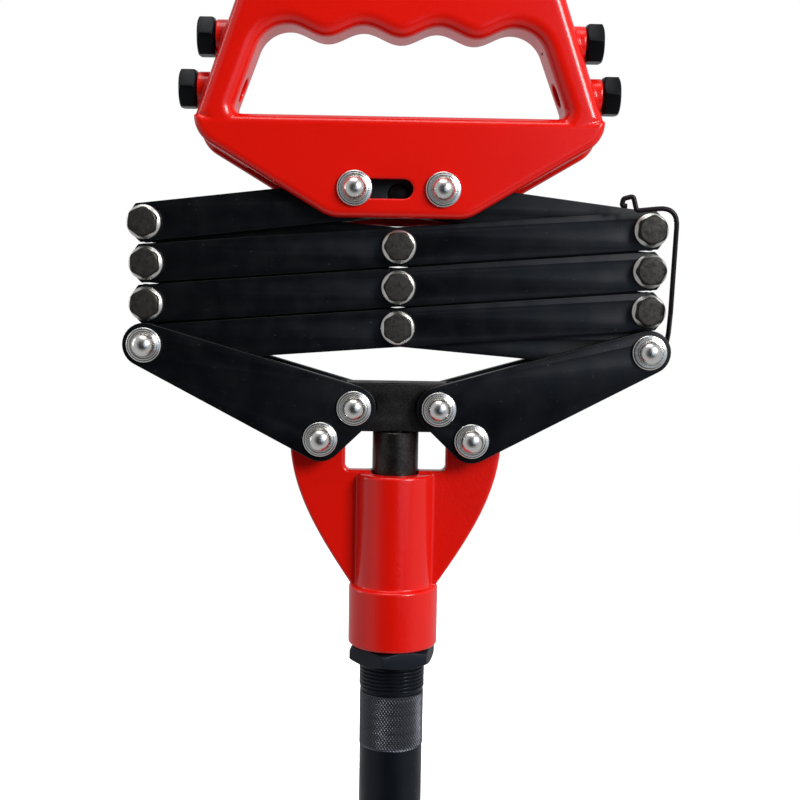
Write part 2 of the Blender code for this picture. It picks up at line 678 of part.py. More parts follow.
def levers():
    for side, sign, body in (("left", -1, LEVER_LEFT), ("right", 1, LEVER_RIGHT)):
        lever_plate(f"lever_{side}_front", sign, -LEVER_FACE, -LEVER_BACK, body)
        lever_plate(f"lever_{side}_back", sign, LEVER_BACK, LEVER_FACE, body)


# Housing casting with its two ears

def wing_outline():
    """The plate of both ears, swelling from the barrel boss to the lever pivots."""
    outer = EAR_HALF + EAR_RADIUS
    root = EAR_Z - WING_ROOT_DEPTH
    side = arc(EAR_HALF, EAR_Z, EAR_RADIUS, 0, math.pi - math.acos(EAR_INSIDE / EAR_RADIUS), 10)
    # The flank falls from the ear to the boss as a quarter wave, full near the top
    steps = 9
    flank = []
    for step in range(steps):
        share = step / steps
        width = BOSS_RADIUS + (outer - BOSS_RADIUS) * math.sin(share * math.pi / 2)
        flank.append((width, root + (EAR_Z - root) * share))
    inner_x = EAR_HALF - EAR_INSIDE
    floor = EAR_Z - NOTCH_DEPTH
    fillet = arc(inner_x - NOTCH_FILLET, floor + NOTCH_FILLET, NOTCH_FILLET, 0, -math.pi / 2, 4)
    half = flank + side + fillet
    return half + [(-x, z) for x, z in reversed(half)]


def housing():
    bottom = EAR_Z - SOCKET_BOTTOM_DEPTH
    step = EAR_Z - STEP_DEPTH
    top = EAR_Z - BOSS_TOP_DEPTH
    ledge = EAR_Z - SOCKET_BORE_TOP_DEPTH
    bore = THREAD_RADIUS + HOLE_GAP
    rod_bore = ROD_RADIUS + ROD_GAP
    casting = slab("housing_casting", [wing_outline()], -EAR_THICK / 2, EAR_THICK / 2, WING_BEVEL, 0)
    edge = CAST_EDGE
    body = turned("boss", [
        (0, top), (BOSS_RADIUS - edge, top), (BOSS_RADIUS, top - edge), (BOSS_RADIUS, step),
        (SOCKET_RADIUS - edge, step - edge), (SOCKET_RADIUS, step - SOCKET_SHOULDER),
        (SOCKET_RADIUS, bottom + edge), (SOCKET_RADIUS - edge, bottom), (0, bottom)], BARREL_STEPS)
    boolean(casting, body, "UNION")
    for sign in (-1, 1):
        boss = cylinder(f"ear_boss_{sign}", EAR_BOSS_RADIUS, -OUTER_FACE, OUTER_FACE, PIN_STEPS,
                        "Y", (sign * EAR_HALF, 0, EAR_Z))
        boolean(casting, boss, "UNION")
    under = bottom - CUT_PAST
    bores = turned("bores", [(0, EAR_Z), (rod_bore, EAR_Z), (rod_bore, ledge), (bore, ledge),
                             (bore, under), (0, under)], BARREL_STEPS)
    boolean(casting, bores)
    for sign in (-1, 1):
        reach = OUTER_FACE + CUT_PAST
        hole = cylinder(f"ear_hole_{sign}", PIN_HOLE, -reach, reach, PIN_STEPS, "Y",
                        (sign * EAR_HALF, 0, EAR_Z))
        boolean(casting, hole)
    place(casting, RED_ENAMEL, HOUSING, 30.0)


# Barrel tube, lock nut and nosepieces

def barrel():
    bottom = NOSE_HEX_HIGH + FACE_GAP
    top = EAR_Z - SOCKET_BORE_TOP_DEPTH - FACE_GAP
    knurl_top = top - THREAD_LONG
    knurl_low = knurl_top - KNURL_LONG
    spigot_hole = SPIGOT_RADIUS + HOLE_GAP
    inside = bottom + TUBE_END_WALL
    groove = THREAD_EDGE
    tube = turned("barrel_tube", [
        (TUBE_BORE_RADIUS, top), (THREAD_RADIUS - groove, top), (THREAD_RADIUS, top - groove),
        (THREAD_RADIUS, knurl_top + groove), (TUBE_RADIUS - groove, knurl_top + groove),
        (TUBE_RADIUS - groove, knurl_top), (KNURL_RADIUS, knurl_top), (KNURL_RADIUS, knurl_low),
        (TUBE_RADIUS, knurl_low), (TUBE_RADIUS, bottom + TUBE_NOSE_TAPER), (TUBE_NOSE_RADIUS, bottom),
        (spigot_hole, bottom), (spigot_hole, inside), (TUBE_BORE_RADIUS, inside)],
        BARREL_STEPS, closed=True)
    place(tube, BLACK_STEEL, HOUSING)
    nut_top = EAR_Z - SOCKET_BOTTOM_DEPTH - FACE_GAP
    nut = hexagon("barrel_lock_nut", LOCK_NUT_FLATS, nut_top - LOCK_NUT_HIGH, nut_top,
                  turn=LOCK_NUT_TURN)
    boolean(nut, cylinder("lock_nut_bore", THREAD_RADIUS + HOLE_GAP, 0, EAR_Z, BARREL_STEPS))
    place(nut, BLACK_STEEL, HOUSING)


def nosepiece(name, bore, axis, at, body):
    """Hexagon with a spigot and a hole for the rivet's mandrel; it points away from the spigot."""
    nose = hexagon(name, NOSE_FLATS, 0, NOSE_HEX_HIGH, chamfered=(True, False))
    tip = NOSE_HEX_HIGH + SPIGOT_LONG
    boolean(nose, turned(name + "_spigot", [
        (0, tip), (SPIGOT_RADIUS - SPIGOT_EDGE, tip), (SPIGOT_RADIUS, tip - SPIGOT_EDGE),
        (SPIGOT_RADIUS, NOSE_HEX_HIGH / 2), (0, NOSE_HEX_HIGH / 2)], PIN_STEPS), "UNION")
    boolean(nose, cylinder(name + "_bore", bore, -CUT_PAST, tip + CUT_PAST, HOLE_STEPS))
    nose = bake(nose)
    nose.data.transform(Matrix.Translation(at) @ AXES[axis])
    place(nose, BLACK_STEEL, body)


# Crosshead and pull rod

def pull_parts():
    half = CROSSHEAD_HALF_LONG
    high = CROSSHEAD_HALF_HIGH
    slot_low = CRANK_HALF_LEAST - PIN_HOLE
    slot_high = CRANK_HALF + PIN_HOLE
    loops = [[(-half, -high), (half, -high), (half, high), (-half, high)]]
    for sign in (-1, 1):
        ends = sorted((sign * slot_low, sign * slot_high))
        loops.append(obround(*ends, -PIN_HOLE, PIN_HOLE + CRANK_SLOT_RISE))
    head = slab("crosshead", loops, -OUTER_FACE, OUTER_FACE, CROSSHEAD_BEVEL, 0)
    notch_from = EAR_HALF - EAR_INSIDE - FACE_GAP
    notch_half = EAR_THICK / 2 + EAR_NOTCH_GAP
    for sign in (-1, 1):
        ends = sorted((sign * notch_from, sign * (half + CUT_PAST)))
        boolean(head, box(f"ear_notch_{sign}", (ends[0], -notch_half, -high - CUT_PAST),
                          (ends[1], notch_half, high + CUT_PAST)))
    neck_top = -high + ROD_NECK_LONG
    boolean(head, cylinder("rod_socket", ROD_NECK_RADIUS + HOLE_GAP, -high - CUT_PAST,
                           neck_top + FACE_GAP, ROUND_STEPS))
    place(head, GREY_STEEL, PULL)
    top = -high - FACE_GAP
    low = JAW_CASE_TOP + FACE_GAP - CROSSHEAD_Z
    end = ROD_END_Z - CROSSHEAD_Z
    rod = turned("pull_rod", [
        (0, neck_top), (ROD_NECK_RADIUS, neck_top), (ROD_NECK_RADIUS, top), (ROD_RADIUS, top),
        (ROD_RADIUS, low), (ROD_NECK_RADIUS, low), (ROD_NECK_RADIUS, end), (0, end)])
    place(rod, GREY_STEEL, PULL)
    base = JAW_CASE_Z - CROSSHEAD_Z
    roof = JAW_CASE_TOP - CROSSHEAD_Z
    case = turned("jaw_case", [
        (ROD_NECK_RADIUS + HOLE_GAP, roof), (JAW_CASE_RADIUS, roof),
        (JAW_CASE_RADIUS, base + JAW_CASE_EDGE), (JAW_CASE_RADIUS - JAW_CASE_EDGE, base),
        (JAW_CASE_MOUTH, base),
        (JAW_CASE_BORE, base + JAW_CONE_LONG), (JAW_CASE_BORE, end - FACE_GAP),
        (ROD_NECK_RADIUS + HOLE_GAP, end - FACE_GAP)], closed=True)
    place(case, GREY_STEEL, PULL)


def cone_radius(height):
    """The case's bore at a height above its mouth."""
    share = height / JAW_CONE_LONG
    return JAW_CASE_MOUTH + (JAW_CASE_BORE - JAW_CASE_MOUTH) * share


def jaw_parts():
    """Built from the jaw case's mouth upwards."""
    top = JAW_LONG - JAW_SHOWS
    for side, sign in (("left", -1), ("right", 1)):
        jaw = turned(f"jaw_{side}", [
            (JAW_GRIP_RADIUS, top), (cone_radius(top) - JAW_GAP, top),
            (cone_radius(-JAW_SHOWS) - JAW_GAP, -JAW_SHOWS), (JAW_GRIP_RADIUS, -JAW_SHOWS)],
            ROUND_STEPS, closed=True)
        reach = JAW_CASE_RADIUS
        ends = sorted((sign * JAW_SPLIT, sign * reach))
        half = box(f"jaw_half_{side}", (ends[0], -reach, -reach), (ends[1], reach, top + reach))
        boolean(jaw, half, "INTERSECT")
        place(jaw, GREY_STEEL, JAWS)
    low = top + FACE_GAP
    high = low + PUSHER_LONG
    guide = JAW_GRIP_RADIUS + PUSHER_BORE_GAP
    flange = low + PUSHER_FLANGE
    pusher = turned("jaw_pusher", [
        (guide, high), (guide + PUSHER_WALL, high), (guide + PUSHER_WALL, flange),
        (cone_radius(low) - JAW_GAP, flange), (cone_radius(low) - JAW_GAP, low), (guide, low)],
        closed=True)
    place(pusher, GREY_STEEL, JAWS)
    seat = flange + FACE_GAP + SPRING_WIRE
    roof = ROD_END_Z - JAW_CASE_Z - FACE_GAP - SPRING_WIRE
    coil_radius = guide + PUSHER_WALL + HOLE_GAP + SPRING_WIRE
    turn = math.tau / SPRING_STEPS
    count = SPRING_TURNS * SPRING_STEPS
    route = [(coil_radius * math.cos(turn * i), coil_radius * math.sin(turn * i),
              seat + (roof - seat) * i / count)
             for i in range(count + 1)]
    place(wire("jaw_spring", route, SPRING_WIRE), SPRING_STEEL, JAWS)


def wire(name, route, radius):
    curve = bpy.data.curves.new(name, "CURVE")
    curve.dimensions = "3D"
    curve.bevel_depth = radius
    curve.bevel_resolution = 2
    curve.use_fill_caps = True
    spline = curve.splines.new("POLY")
    spline.points.add(len(route) - 1)
    for point, place_at in zip(spline.points, route):
        point.co = (*place_at, 1)
    shape = bpy.data.objects.new(name, curve)
    PARTS.objects.link(shape)
    return bake(shape)


# Wire latch

def bent(corners, radius, steps=2):
    """A 3D route through corners with each bend eased to a radius."""
    points = [Vector(corners[0])]
    for before, here, after in zip(corners, corners[1:], corners[2:]):
        before, here, after = Vector(before), Vector(here), Vector(after)
        back, on = (before - here), (after - here)
        half = back.angle(on) / 2
        cut = min(radius / math.tan(half), 0.45 * back.length, 0.45 * on.length)
        start = here + back.normalized() * cut
        end = here + on.normalized() * cut
        for step in range(steps + 1):
            share = step / steps
            points.append(start.lerp(here, share).lerp(here.lerp(end, share), share))
    return points + [Vector(corners[-1])]


def latch():
    """From its eye on the outer tong pin, up past the link ends and over the top bolt."""
    eye = PIN_RADIUS + HOLE_GAP + LATCH_WIRE
    depth = -(OUTER_BACK + OUTER_FACE) / 2
    ring = [(x, depth, z) for x, z in arc(0, 0, eye, math.radians(60), math.radians(330), 8)]
    top = tong_side_z(1) - LEVER_END_Z
    side, out = LATCH_STANDOFF, -LATCH_FRONT
    over = top + BOLT_FLATS / 2 + LATCH_OVER_BOLT
    rising = bent([ring[-1], (side + LATCH_START[0], depth, LATCH_START[1]),
                   (side, depth, LATCH_JOG[0]), (side, out, LATCH_JOG[1]),
                   (side + LATCH_TOP[0], out, top + LATCH_TOP[1]),
                   (side + LATCH_LEAN[0], out, over + LATCH_LEAN[1])]
                  + [(x, out, over + rise) for x, rise in LATCH_HOOK], LATCH_BEND)
    place(wire("wire_latch", ring + [tuple(point) for point in rising[1:]], LATCH_WIRE),
          BLACK_STEEL, LATCH, 60.0)


# Handle casting, built from the fixed handle pin

def opening_outline(middle):
    """The finger opening: slanting sides and a scalloped top edge."""
    lean = (OPENING_FLOOR_HALF - OPENING_TOP_HALF) / (SCALLOP_CREST - OPENING_FLOOR)
    shoulder = SCALLOP_CREST - SCALLOP_SHOULDER
    shoulder_half = OPENING_FLOOR_HALF - lean * (shoulder - OPENING_FLOOR)
    corners = [(-shoulder_half, shoulder, 0.0), (-OPENING_FLOOR_HALF, OPENING_FLOOR, OPENING_CORNER),
               (OPENING_FLOOR_HALF, OPENING_FLOOR, OPENING_CORNER), (shoulder_half, shoulder, 0.0)]
    outline = rounded(corners, 4)
    steps = 24
    half = shoulder_half - SCALLOP_END_INSET
    for step in range(steps + 1):
        x = half - 2 * half * step / steps
        wave = (1 + math.cos(math.tau * x / SCALLOP_PITCH)) / 2
        outline.append((x, SCALLOP_CREST - SCALLOP_DEPTH * wave))
    return [(middle + x, z) for x, z in outline]


def handle():
    middle = -STUB_HALF
    # The frame's floor bar runs on inside the apron, far enough for both its rounded edges
    frame_low = OPENING_FLOOR - 2 * FRAME_BEVEL - APRON_OVERLAP
    slant = (APRON_HALF_WIDTH - APRON_FLAT_HALF) / (APRON_SHOULDER - APRON_BOTTOM)
    low_half = APRON_HALF_WIDTH - slant * (APRON_SHOULDER - frame_low) - FRAME_END_INSET
    frame_half = APRON_HALF_WIDTH - FRAME_SIDE_INSET
    corner_half_angle = (math.pi / 2 + math.atan(1 / slant)) / 2
    shoulder_round = (APRON_TOP - APRON_SHOULDER - APRON_SIDE_KEPT) * math.tan(corner_half_angle)
    frame_face = HANDLE_FACE - FRAME_FACE_INSET
    frame_floor = APRON_TOP + FRAME_FACE_INSET
    frame_outline = rounded([
        (middle - low_half, frame_low, 0), (middle + low_half, frame_low, 0),
        (middle + frame_half, frame_floor, 0),
        (middle + FRAME_TOP_HALF, FRAME_TOP, FRAME_CORNER),
        (middle - FRAME_TOP_HALF, FRAME_TOP, FRAME_CORNER),
        (middle - frame_half, frame_floor, 0)])
    casting = slab("handle_casting", [frame_outline, opening_outline(middle)], -frame_face,
                   frame_face, FRAME_BEVEL, 2)
    apron = slab("apron", [rounded([
        (middle - APRON_FLAT_HALF, APRON_BOTTOM, APRON_CORNER),
        (middle + APRON_FLAT_HALF, APRON_BOTTOM, APRON_CORNER),
        (middle + APRON_HALF_WIDTH, APRON_SHOULDER, shoulder_round),
        (middle + APRON_HALF_WIDTH, APRON_TOP, 0),
        (middle - APRON_HALF_WIDTH, APRON_TOP, 0),
        (middle - APRON_HALF_WIDTH, APRON_SHOULDER, shoulder_round)])], -HANDLE_FACE, HANDLE_FACE,
        APRON_BEVEL, 1)
    boolean(casting, apron, "UNION")
    spares = [(sign, axis, side_half(level) + SPARE_PROUD, level)
              for sign, axis in ((-1, "X"), (1, "-X")) for level in (SPARE_UPPER_Z, SPARE_LOWER_Z)]
    for number, (sign, axis, seat, level) in enumerate(spares, 1):
        boss = cylinder(f"spare_boss_{number}", SPARE_BOSS_RADIUS, 0,
                        SPARE_PROUD - FACE_GAP + SPARE_BOSS_ROOT, PIN_STEPS, axis,
                        (middle + sign * (seat - FACE_GAP), 0, level))
        boolean(casting, boss, "UNION")
    for number, (sign, axis, seat, level) in enumerate(spares, 1):
        through = seat - OPENING_TOP_HALF + CUT_PAST
        hole = cylinder(f"spare_hole_{number}", SPIGOT_RADIUS + HOLE_GAP, -CUT_PAST, through,
                        PIN_STEPS, axis, (middle + sign * seat, 0, level))
        boolean(casting, hole)
    reach = APRON_HALF_WIDTH + CUT_PAST
    boolean(casting, box("link_cavity", (middle - reach, -LEVER_BACK, APRON_BOTTOM - CUT_PAST),
                         (middle + reach, LEVER_BACK, LINK_CAVITY_TOP)))
    depth = HANDLE_FACE + CUT_PAST
    slot = slab("pin_slot", [obround(-2 * STUB_HALF - PIN_HOLE, middle + HANDLE_SLOT_END + PIN_HOLE,
                                     -PIN_HOLE, PIN_HOLE)], -depth, depth)
    boolean(casting, slot)
    boolean(casting, cylinder("fixed_pin_hole", PIN_HOLE, -depth, depth, PIN_STEPS, "Y"))
    place(casting, RED_ENAMEL, HANDLE, 30.0)
    for number, ((sign, axis, seat, level), bore) in enumerate(zip(spares, SPARE_BORE_RADII), 1):
        at = (middle + sign * (seat + NOSE_HEX_HIGH), 0, level)
        nosepiece(f"spare_nosepiece_{number}", bore, axis, at, HANDLE)


tong_links()
tong_bolts()
pins()
levers()
housing()
barrel()
nosepiece("nosepiece", NOSE_BORE_RADIUS, "Z", (0, 0, 0), HOUSING)
pull_parts()
jaw_parts()
latch()
handle()
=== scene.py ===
"""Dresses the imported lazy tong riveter: castings, links, levers, fasteners, barrel, latch and stage.

Run as a script. Every piece is built where it stands at rest, and then rides on its CAD body.
Metres, Z up along the barrel, front at -Y.
"""
import functools
import json
import math

import bmesh
import bpy
import numpy as np
from mathutils import Matrix, Vector


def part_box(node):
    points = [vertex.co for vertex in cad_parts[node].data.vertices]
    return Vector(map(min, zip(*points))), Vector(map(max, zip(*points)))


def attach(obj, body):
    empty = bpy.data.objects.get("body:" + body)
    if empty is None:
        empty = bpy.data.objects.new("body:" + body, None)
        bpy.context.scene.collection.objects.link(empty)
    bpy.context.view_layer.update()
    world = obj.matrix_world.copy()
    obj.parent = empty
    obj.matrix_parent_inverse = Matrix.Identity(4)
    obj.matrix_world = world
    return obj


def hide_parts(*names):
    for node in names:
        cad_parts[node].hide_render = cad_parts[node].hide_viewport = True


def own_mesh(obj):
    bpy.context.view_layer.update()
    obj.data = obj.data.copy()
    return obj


bl_info = {
    "name": "Lazy tong riveter dressing",
    "version": (1, 0, 0),
    "blender": (4, 5, 0),
    "location": "3D View > Sidebar > Riveter",
    "description": "Builds the visible castings, plates, fasteners and barrel over the riveter's frame",
    "category": "Object",
}

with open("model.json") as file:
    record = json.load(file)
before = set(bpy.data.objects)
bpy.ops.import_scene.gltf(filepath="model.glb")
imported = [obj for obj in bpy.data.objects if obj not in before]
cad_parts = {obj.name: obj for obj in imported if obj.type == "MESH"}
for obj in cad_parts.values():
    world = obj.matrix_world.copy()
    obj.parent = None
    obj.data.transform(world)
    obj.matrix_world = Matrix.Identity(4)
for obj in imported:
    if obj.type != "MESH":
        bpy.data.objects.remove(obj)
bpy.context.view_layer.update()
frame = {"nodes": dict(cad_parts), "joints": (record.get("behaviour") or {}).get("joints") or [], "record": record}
MM = 0.001

BODY_OF = {node: body for body, nodes in frame["record"]["behaviour"]["bodies"].items() for node in nodes}
PIVOT = {joint["name"]: Vector(joint["pos_m"]) for joint in frame["joints"] if joint.get("pos_m")}


def mm(*values):
    return tuple(value * MM for value in values)


def having(made, **values):
    """The same thing with some of its settings changed."""
    for name, value in values.items():
        setattr(made, name, value)
    return made


def raised(rows, base):
    """Points from (radius, height) rows in millimetres, with their heights counted from a base."""
    return [(radius * MM, base + height * MM) for radius, height in rows]


def middle_of(node):
    low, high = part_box(node)
    return (low + high) / 2


def hex_to_linear(code):
    """An sRGB hex colour as the linear RGBA that the shaders take."""
    values = [int(code[i:i + 2], 16) / 255 for i in (1, 3, 5)]
    return (*[v / 12.92 if v <= 0.04045 else ((v + 0.055) / 1.055) ** 2.4 for v in values], 1.0)


def colour(label, code, description):
    return bpy.props.FloatVectorProperty(name=label, description=description, subtype="COLOR", size=4,
                                         min=0.0, max=1.0, default=hex_to_linear(code))


def length(label, millimetres, description):
    return bpy.props.FloatProperty(name=label, description=description, unit="LENGTH", precision=5,
                                   min=0.0, default=millimetres * MM)


# Sizes and colours that a user would change

class RiveterSizes(bpy.types.PropertyGroup):
    """Sizes of the visible detail."""
    plate_edge: length("Plate edge", 0.3, "Broken edge on the stamped links and levers")
    casting_grain: length("Casting grain", 0.45, "Size of the mesh that rounds the handle casting")
    thread_pitch: length("Thread pitch", 1.5, "Pitch of the barrel's thread")
    knurl_pitch: length("Knurl pitch", 1.25, "Spacing of the knurl's diamonds")
    latch_wire: length("Latch wire", 0.95, "Radius of the latch's wire")


class RiveterColours(bpy.types.PropertyGroup):
    """Base colours of the finishes."""
    enamel: colour("Enamel", "#E41407", "Red stoving enamel on both castings")
    plate: colour("Plate", "#04060A", "Black oxide on the links and levers")
    bolt_face: colour("Bolt face", "#2B2927", "Phosphated faces of the bolts and nuts")
    zinc: colour("Zinc", "#E2E0DB", "Bright zinc on the domed pins")
    block: colour("Block", "#242221", "Ground steel of the crosshead")
    barrel: colour("Barrel", "#1E2229", "Blackened tube")
    latch: colour("Latch", "#1B1517", "Blackened spring wire")


def sizes():
    return bpy.context.scene.riveter_sizes


def colours():
    return bpy.context.scene.riveter_colours


# Shapes, built in the frame of the whole riveter

WELD_WITHIN = 1e-6
TURN_AXES = {
    "Z": Matrix.Identity(4),
    "Y": Matrix.Rotation(math.pi / 2, 4, "X"),
    "X": Matrix.Rotation(math.pi / 2, 4, "Y"),
    "-X": Matrix.Rotation(-math.pi / 2, 4, "Y"),
}


def placed(name, data):
    """A new object of that data, in the scene."""
    made = bpy.data.objects.new(name, data)
    bpy.context.scene.collection.objects.link(made)
    return made


def from_bmesh(name, shape):
    bmesh.ops.recalc_face_normals(shape, faces=shape.faces)
    mesh = bpy.data.meshes.new(name)
    shape.to_mesh(mesh)
    shape.free()
    return placed(name, mesh)


def weld(shape):
    """The object with its modifiers applied and its points welded."""
    bpy.context.view_layer.update()
    mesh = bpy.data.meshes.new_from_object(shape.evaluated_get(bpy.context.evaluated_depsgraph_get()))
    welded = bmesh.new()
    welded.from_mesh(mesh)
    bmesh.ops.remove_doubles(welded, verts=welded.verts, dist=WELD_WITHIN)
    name = shape.name
    used = [step.object for step in shape.modifiers if step.type == "BOOLEAN"]
    for old in [shape] + used:
        bpy.data.objects.remove(old)
    return from_bmesh(name, welded)


def modify(shape, kind, **values):
    return having(shape.modifiers.new(kind.title(), kind), **values)


def straight_runs(name, dimensions, runs, closed, radius, facets):
    """A curve of straight runs of points, with a round section of that radius along each."""
    curve = having(bpy.data.curves.new(name, "CURVE"), dimensions=dimensions)
    for run in runs:
        spline = curve.splines.new("POLY")
        spline.points.add(len(run) - 1)
        for point, at in zip(spline.points, run):
            point.co = (*at, 1)
        spline.use_cyclic_u = closed
    return having(curve, bevel_depth=radius, bevel_resolution=facets)


def plate(name, loops, front, back, edge=0.0, edge_steps=1):
    """A flat plate between two depths from (x, z) loops, with rounded edges; inner loops are holes."""
    curve = straight_runs(name, "2D", [[(x, z, 0) for x, z in loop] for loop in loops], True, edge, edge_steps)
    having(curve, fill_mode="BOTH", extrude=abs(back - front) / 2 - edge, offset=-edge)
    made = weld(placed(name, curve))
    made.data.transform(Matrix.Translation((0, (front + back) / 2, 0)) @ TURN_AXES["Y"])
    return made


def round_wire(name, route, radius, facets):
    """A capped round wire along a list of points."""
    curve = straight_runs(name, "3D", [route], False, radius, facets)
    return weld(placed(name, having(curve, use_fill_caps=True)))


def turned(name, profile, steps=64, axis="Z", at=(0, 0, 0)):
    """Turns (radius, height) points about an axis."""
    mesh = bpy.data.meshes.new(name)
    mesh.from_pydata([(radius, 0, height) for radius, height in profile],
                     [(i, i + 1) for i in range(len(profile) - 1)], [])
    made = placed(name, mesh)
    modify(made, "SCREW", steps=steps, render_steps=steps, use_merge_vertices=True, merge_threshold=WELD_WITHIN)
    made = weld(made)
    made.data.transform(Matrix.Translation(at) @ TURN_AXES[axis])
    return made


def cylinder(name, radius, low, high, steps=48, axis="Z", at=(0, 0, 0)):
    shape = bmesh.new()
    bmesh.ops.create_cone(shape, cap_ends=True, segments=steps, radius1=radius, radius2=radius,
                          depth=high - low)
    made = from_bmesh(name, shape)
    made.data.transform(Matrix.Translation(at) @ TURN_AXES[axis] @ Matrix.Translation((0, 0, (low + high) / 2)))
    return made


def block(name, low, high):
    shape = bmesh.new()
    bmesh.ops.create_cube(shape, size=1.0)
    low, high = Vector(low), Vector(high)
    for vert in shape.verts:
        vert.co = Vector((low + high) / 2) + vert.co * (high - low)
    return from_bmesh(name, shape)


def combine(target, tool, operation="DIFFERENCE"):
    modify(target, "BOOLEAN", operation=operation, solver="EXACT", object=tool)
    tool.hide_render = True


def join(target, other):
    """Adds another object's mesh to the target's, keeping its finish where it has one."""
    shape = bmesh.new()
    shape.from_mesh(target.data)
    start = len(shape.faces)
    shape.from_mesh(other.data)
    shape.faces.ensure_lookup_table()
    if other.data.materials:
        names = [finish_used.name for finish_used in target.data.materials]
        for face in shape.faces[start:]:
            face.material_index = names.index(other.data.materials[0].name)
    shape.to_mesh(target.data)
    shape.free()
    bpy.data.objects.remove(other)


def soften(shape, grain, passes):
    """Remeshes a casting at a fine grain and smooths it, so that every edge and joint gets a fillet."""
    flat_within = math.radians(0.4)
    modify(shape, "REMESH", mode="VOXEL", voxel_size=grain)
    modify(shape, "SMOOTH", factor=0.5, iterations=passes)
    modify(shape, "DECIMATE", decimate_type="DISSOLVE", angle_limit=flat_within)
    shape = weld(shape)
    # Triangles, because the many-sided faces that dissolving leaves can fold onto each other
    work = bmesh.new()
    work.from_mesh(shape.data)
    bmesh.ops.triangulate(work, faces=work.faces)
    work.to_mesh(shape.data)
    work.free()
    return shape


def break_edges(shape, width, steps=2):
    modify(shape, "BEVEL", width=width, segments=steps, limit_method="ANGLE", angle_limit=math.radians(30.0))
    return weld(shape)


def coat(shape, *finishes):
    """Gives an object its finishes, the first on every face."""
    shape.data.materials.clear()
    for name in finishes:
        shape.data.materials.append(finish(name))


def finish_piece(shape, node, finish_name, sharp=35.0):
    """Smooth shading, its finish, and its place on the CAD body whose node it stands for."""
    if finish_name:
        coat(shape, finish_name)
    shape.data.shade_smooth()
    shape.data.set_sharp_from_angle(angle=math.radians(sharp))
    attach(shape, BODY_OF[node])
    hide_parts(node)


# Outlines in the x, z plane

def arc(x, z, radius, start, end, steps):
    return [(x + radius * math.cos(start + (end - start) * i / steps),
             z + radius * math.sin(start + (end - start) * i / steps)) for i in range(steps + 1)]


def circle(x, z, radius, steps=40):
    return arc(x, z, radius, 0, math.tau * (steps - 1) / steps, steps - 1)


def obround(x_low, x_high, z_low, z_high, steps=16):
    radius = (z_high - z_low) / 2
    middle = (z_low + z_high) / 2
    return (arc(x_high - radius, middle, radius, -math.pi / 2, math.pi / 2, steps)
            + arc(x_low + radius, middle, radius, math.pi / 2, 3 * math.pi / 2, steps))


def rounded(corners, steps=10):
    """A closed outline from (x, z, radius) corners."""
    points = []
    for index, (x, z, radius) in enumerate(corners):
        here = Vector((x, z))
        before = Vector(corners[index - 1][:2]) - here
        after = Vector(corners[(index + 1) % len(corners)][:2]) - here
        if radius == 0:
            points.append((x, z))
            continue
        half = before.angle(after) / 2
        along = radius / math.tan(half)
        centre = here + (before.normalized() + after.normalized()).normalized() * radius / math.sin(half)
        start = here + before.normalized() * along - centre
        end = here + after.normalized() * along - centre
        turn = start.angle_signed(end)
        for step in range(steps + 1):
            offset = start.copy()
            offset.rotate(Matrix.Rotation(-turn * step / steps, 2))
            points.append(tuple(centre + offset))
    return points


def both_sides(middle, base, corners):
    """Corners of a whole outline from its right half's (out, up, radius), the lowest first."""
    right, left = ([(middle + side * out, base + up, radius) for out, up, radius in corners] for side in (1, -1))
    return left[:1] + right + left[:0:-1]


def hull(circles, steps=16):
    """The outline round circles (x, z, radius) given counter-clockwise."""
    normals = []
    for (x0, z0, r0), (x1, z1, r1) in zip(circles, circles[1:] + circles[:1]):
        along = Vector((x1 - x0, z1 - z0))
        normals.append(math.atan2(along.y, along.x) - math.acos((r0 - r1) / along.length))
    points = []
    for (x, z, radius), start, end in zip(circles, normals[-1:] + normals, normals):
        while end < start:
            end += math.tau
        points += arc(x, z, radius, start, end, steps)
    return points


def laid_along(points, origin, angle):
    """Outline points turned by an angle and moved to an origin, both in the x, z plane."""
    cos, sin = math.cos(angle), math.sin(angle)
    return [(origin.x + x * cos - z * sin, origin.z + x * sin + z * cos) for x, z in points]


# Finishes

def add(tree, kind, settings=None, links=None):
    """One node with its settings and the links that come into it."""
    node = tree.nodes.new(kind)
    for name, value in (settings or {}).items():
        if isinstance(name, int) or name in node.inputs:
            node.inputs[name].default_value = value
        else:
            setattr(node, name, value)
    for name, output in (links or {}).items():
        tree.links.new(output, node.inputs[name])
    return node


def new_material(name):
    """An empty material, its tree, and the piece's own coordinates in metres."""
    made = bpy.data.materials.new(name)
    made.use_nodes = True
    return made, made.node_tree, add(made.node_tree, "ShaderNodeTexCoord").outputs["Object"]


def clouds(tree, place, millimetres, detail=2.0, rough=0.5):
    """Noise from 0 to 1 with one feature in that many millimetres."""
    return add(tree, "ShaderNodeTexNoise", {"Scale": 1 / MM / millimetres, "Detail": detail, "Roughness": rough},
               {"Vector": place}).outputs["Fac"]


def spread(tree, value, source, target, kind="LINEAR"):
    """Takes one range of values to another."""
    return add(tree, "ShaderNodeMapRange", {"interpolation_type": kind, "From Min": source[0],
                                            "From Max": source[1], "To Min": target[0], "To Max": target[1]},
               {"Value": value}).outputs["Result"]


def blend(tree, share, first, second):
    """From the first colour to the second."""
    return add(tree, "ShaderNodeMix", {"data_type": "RGBA", 6: first, 7: second}, {0: share}).outputs[2]


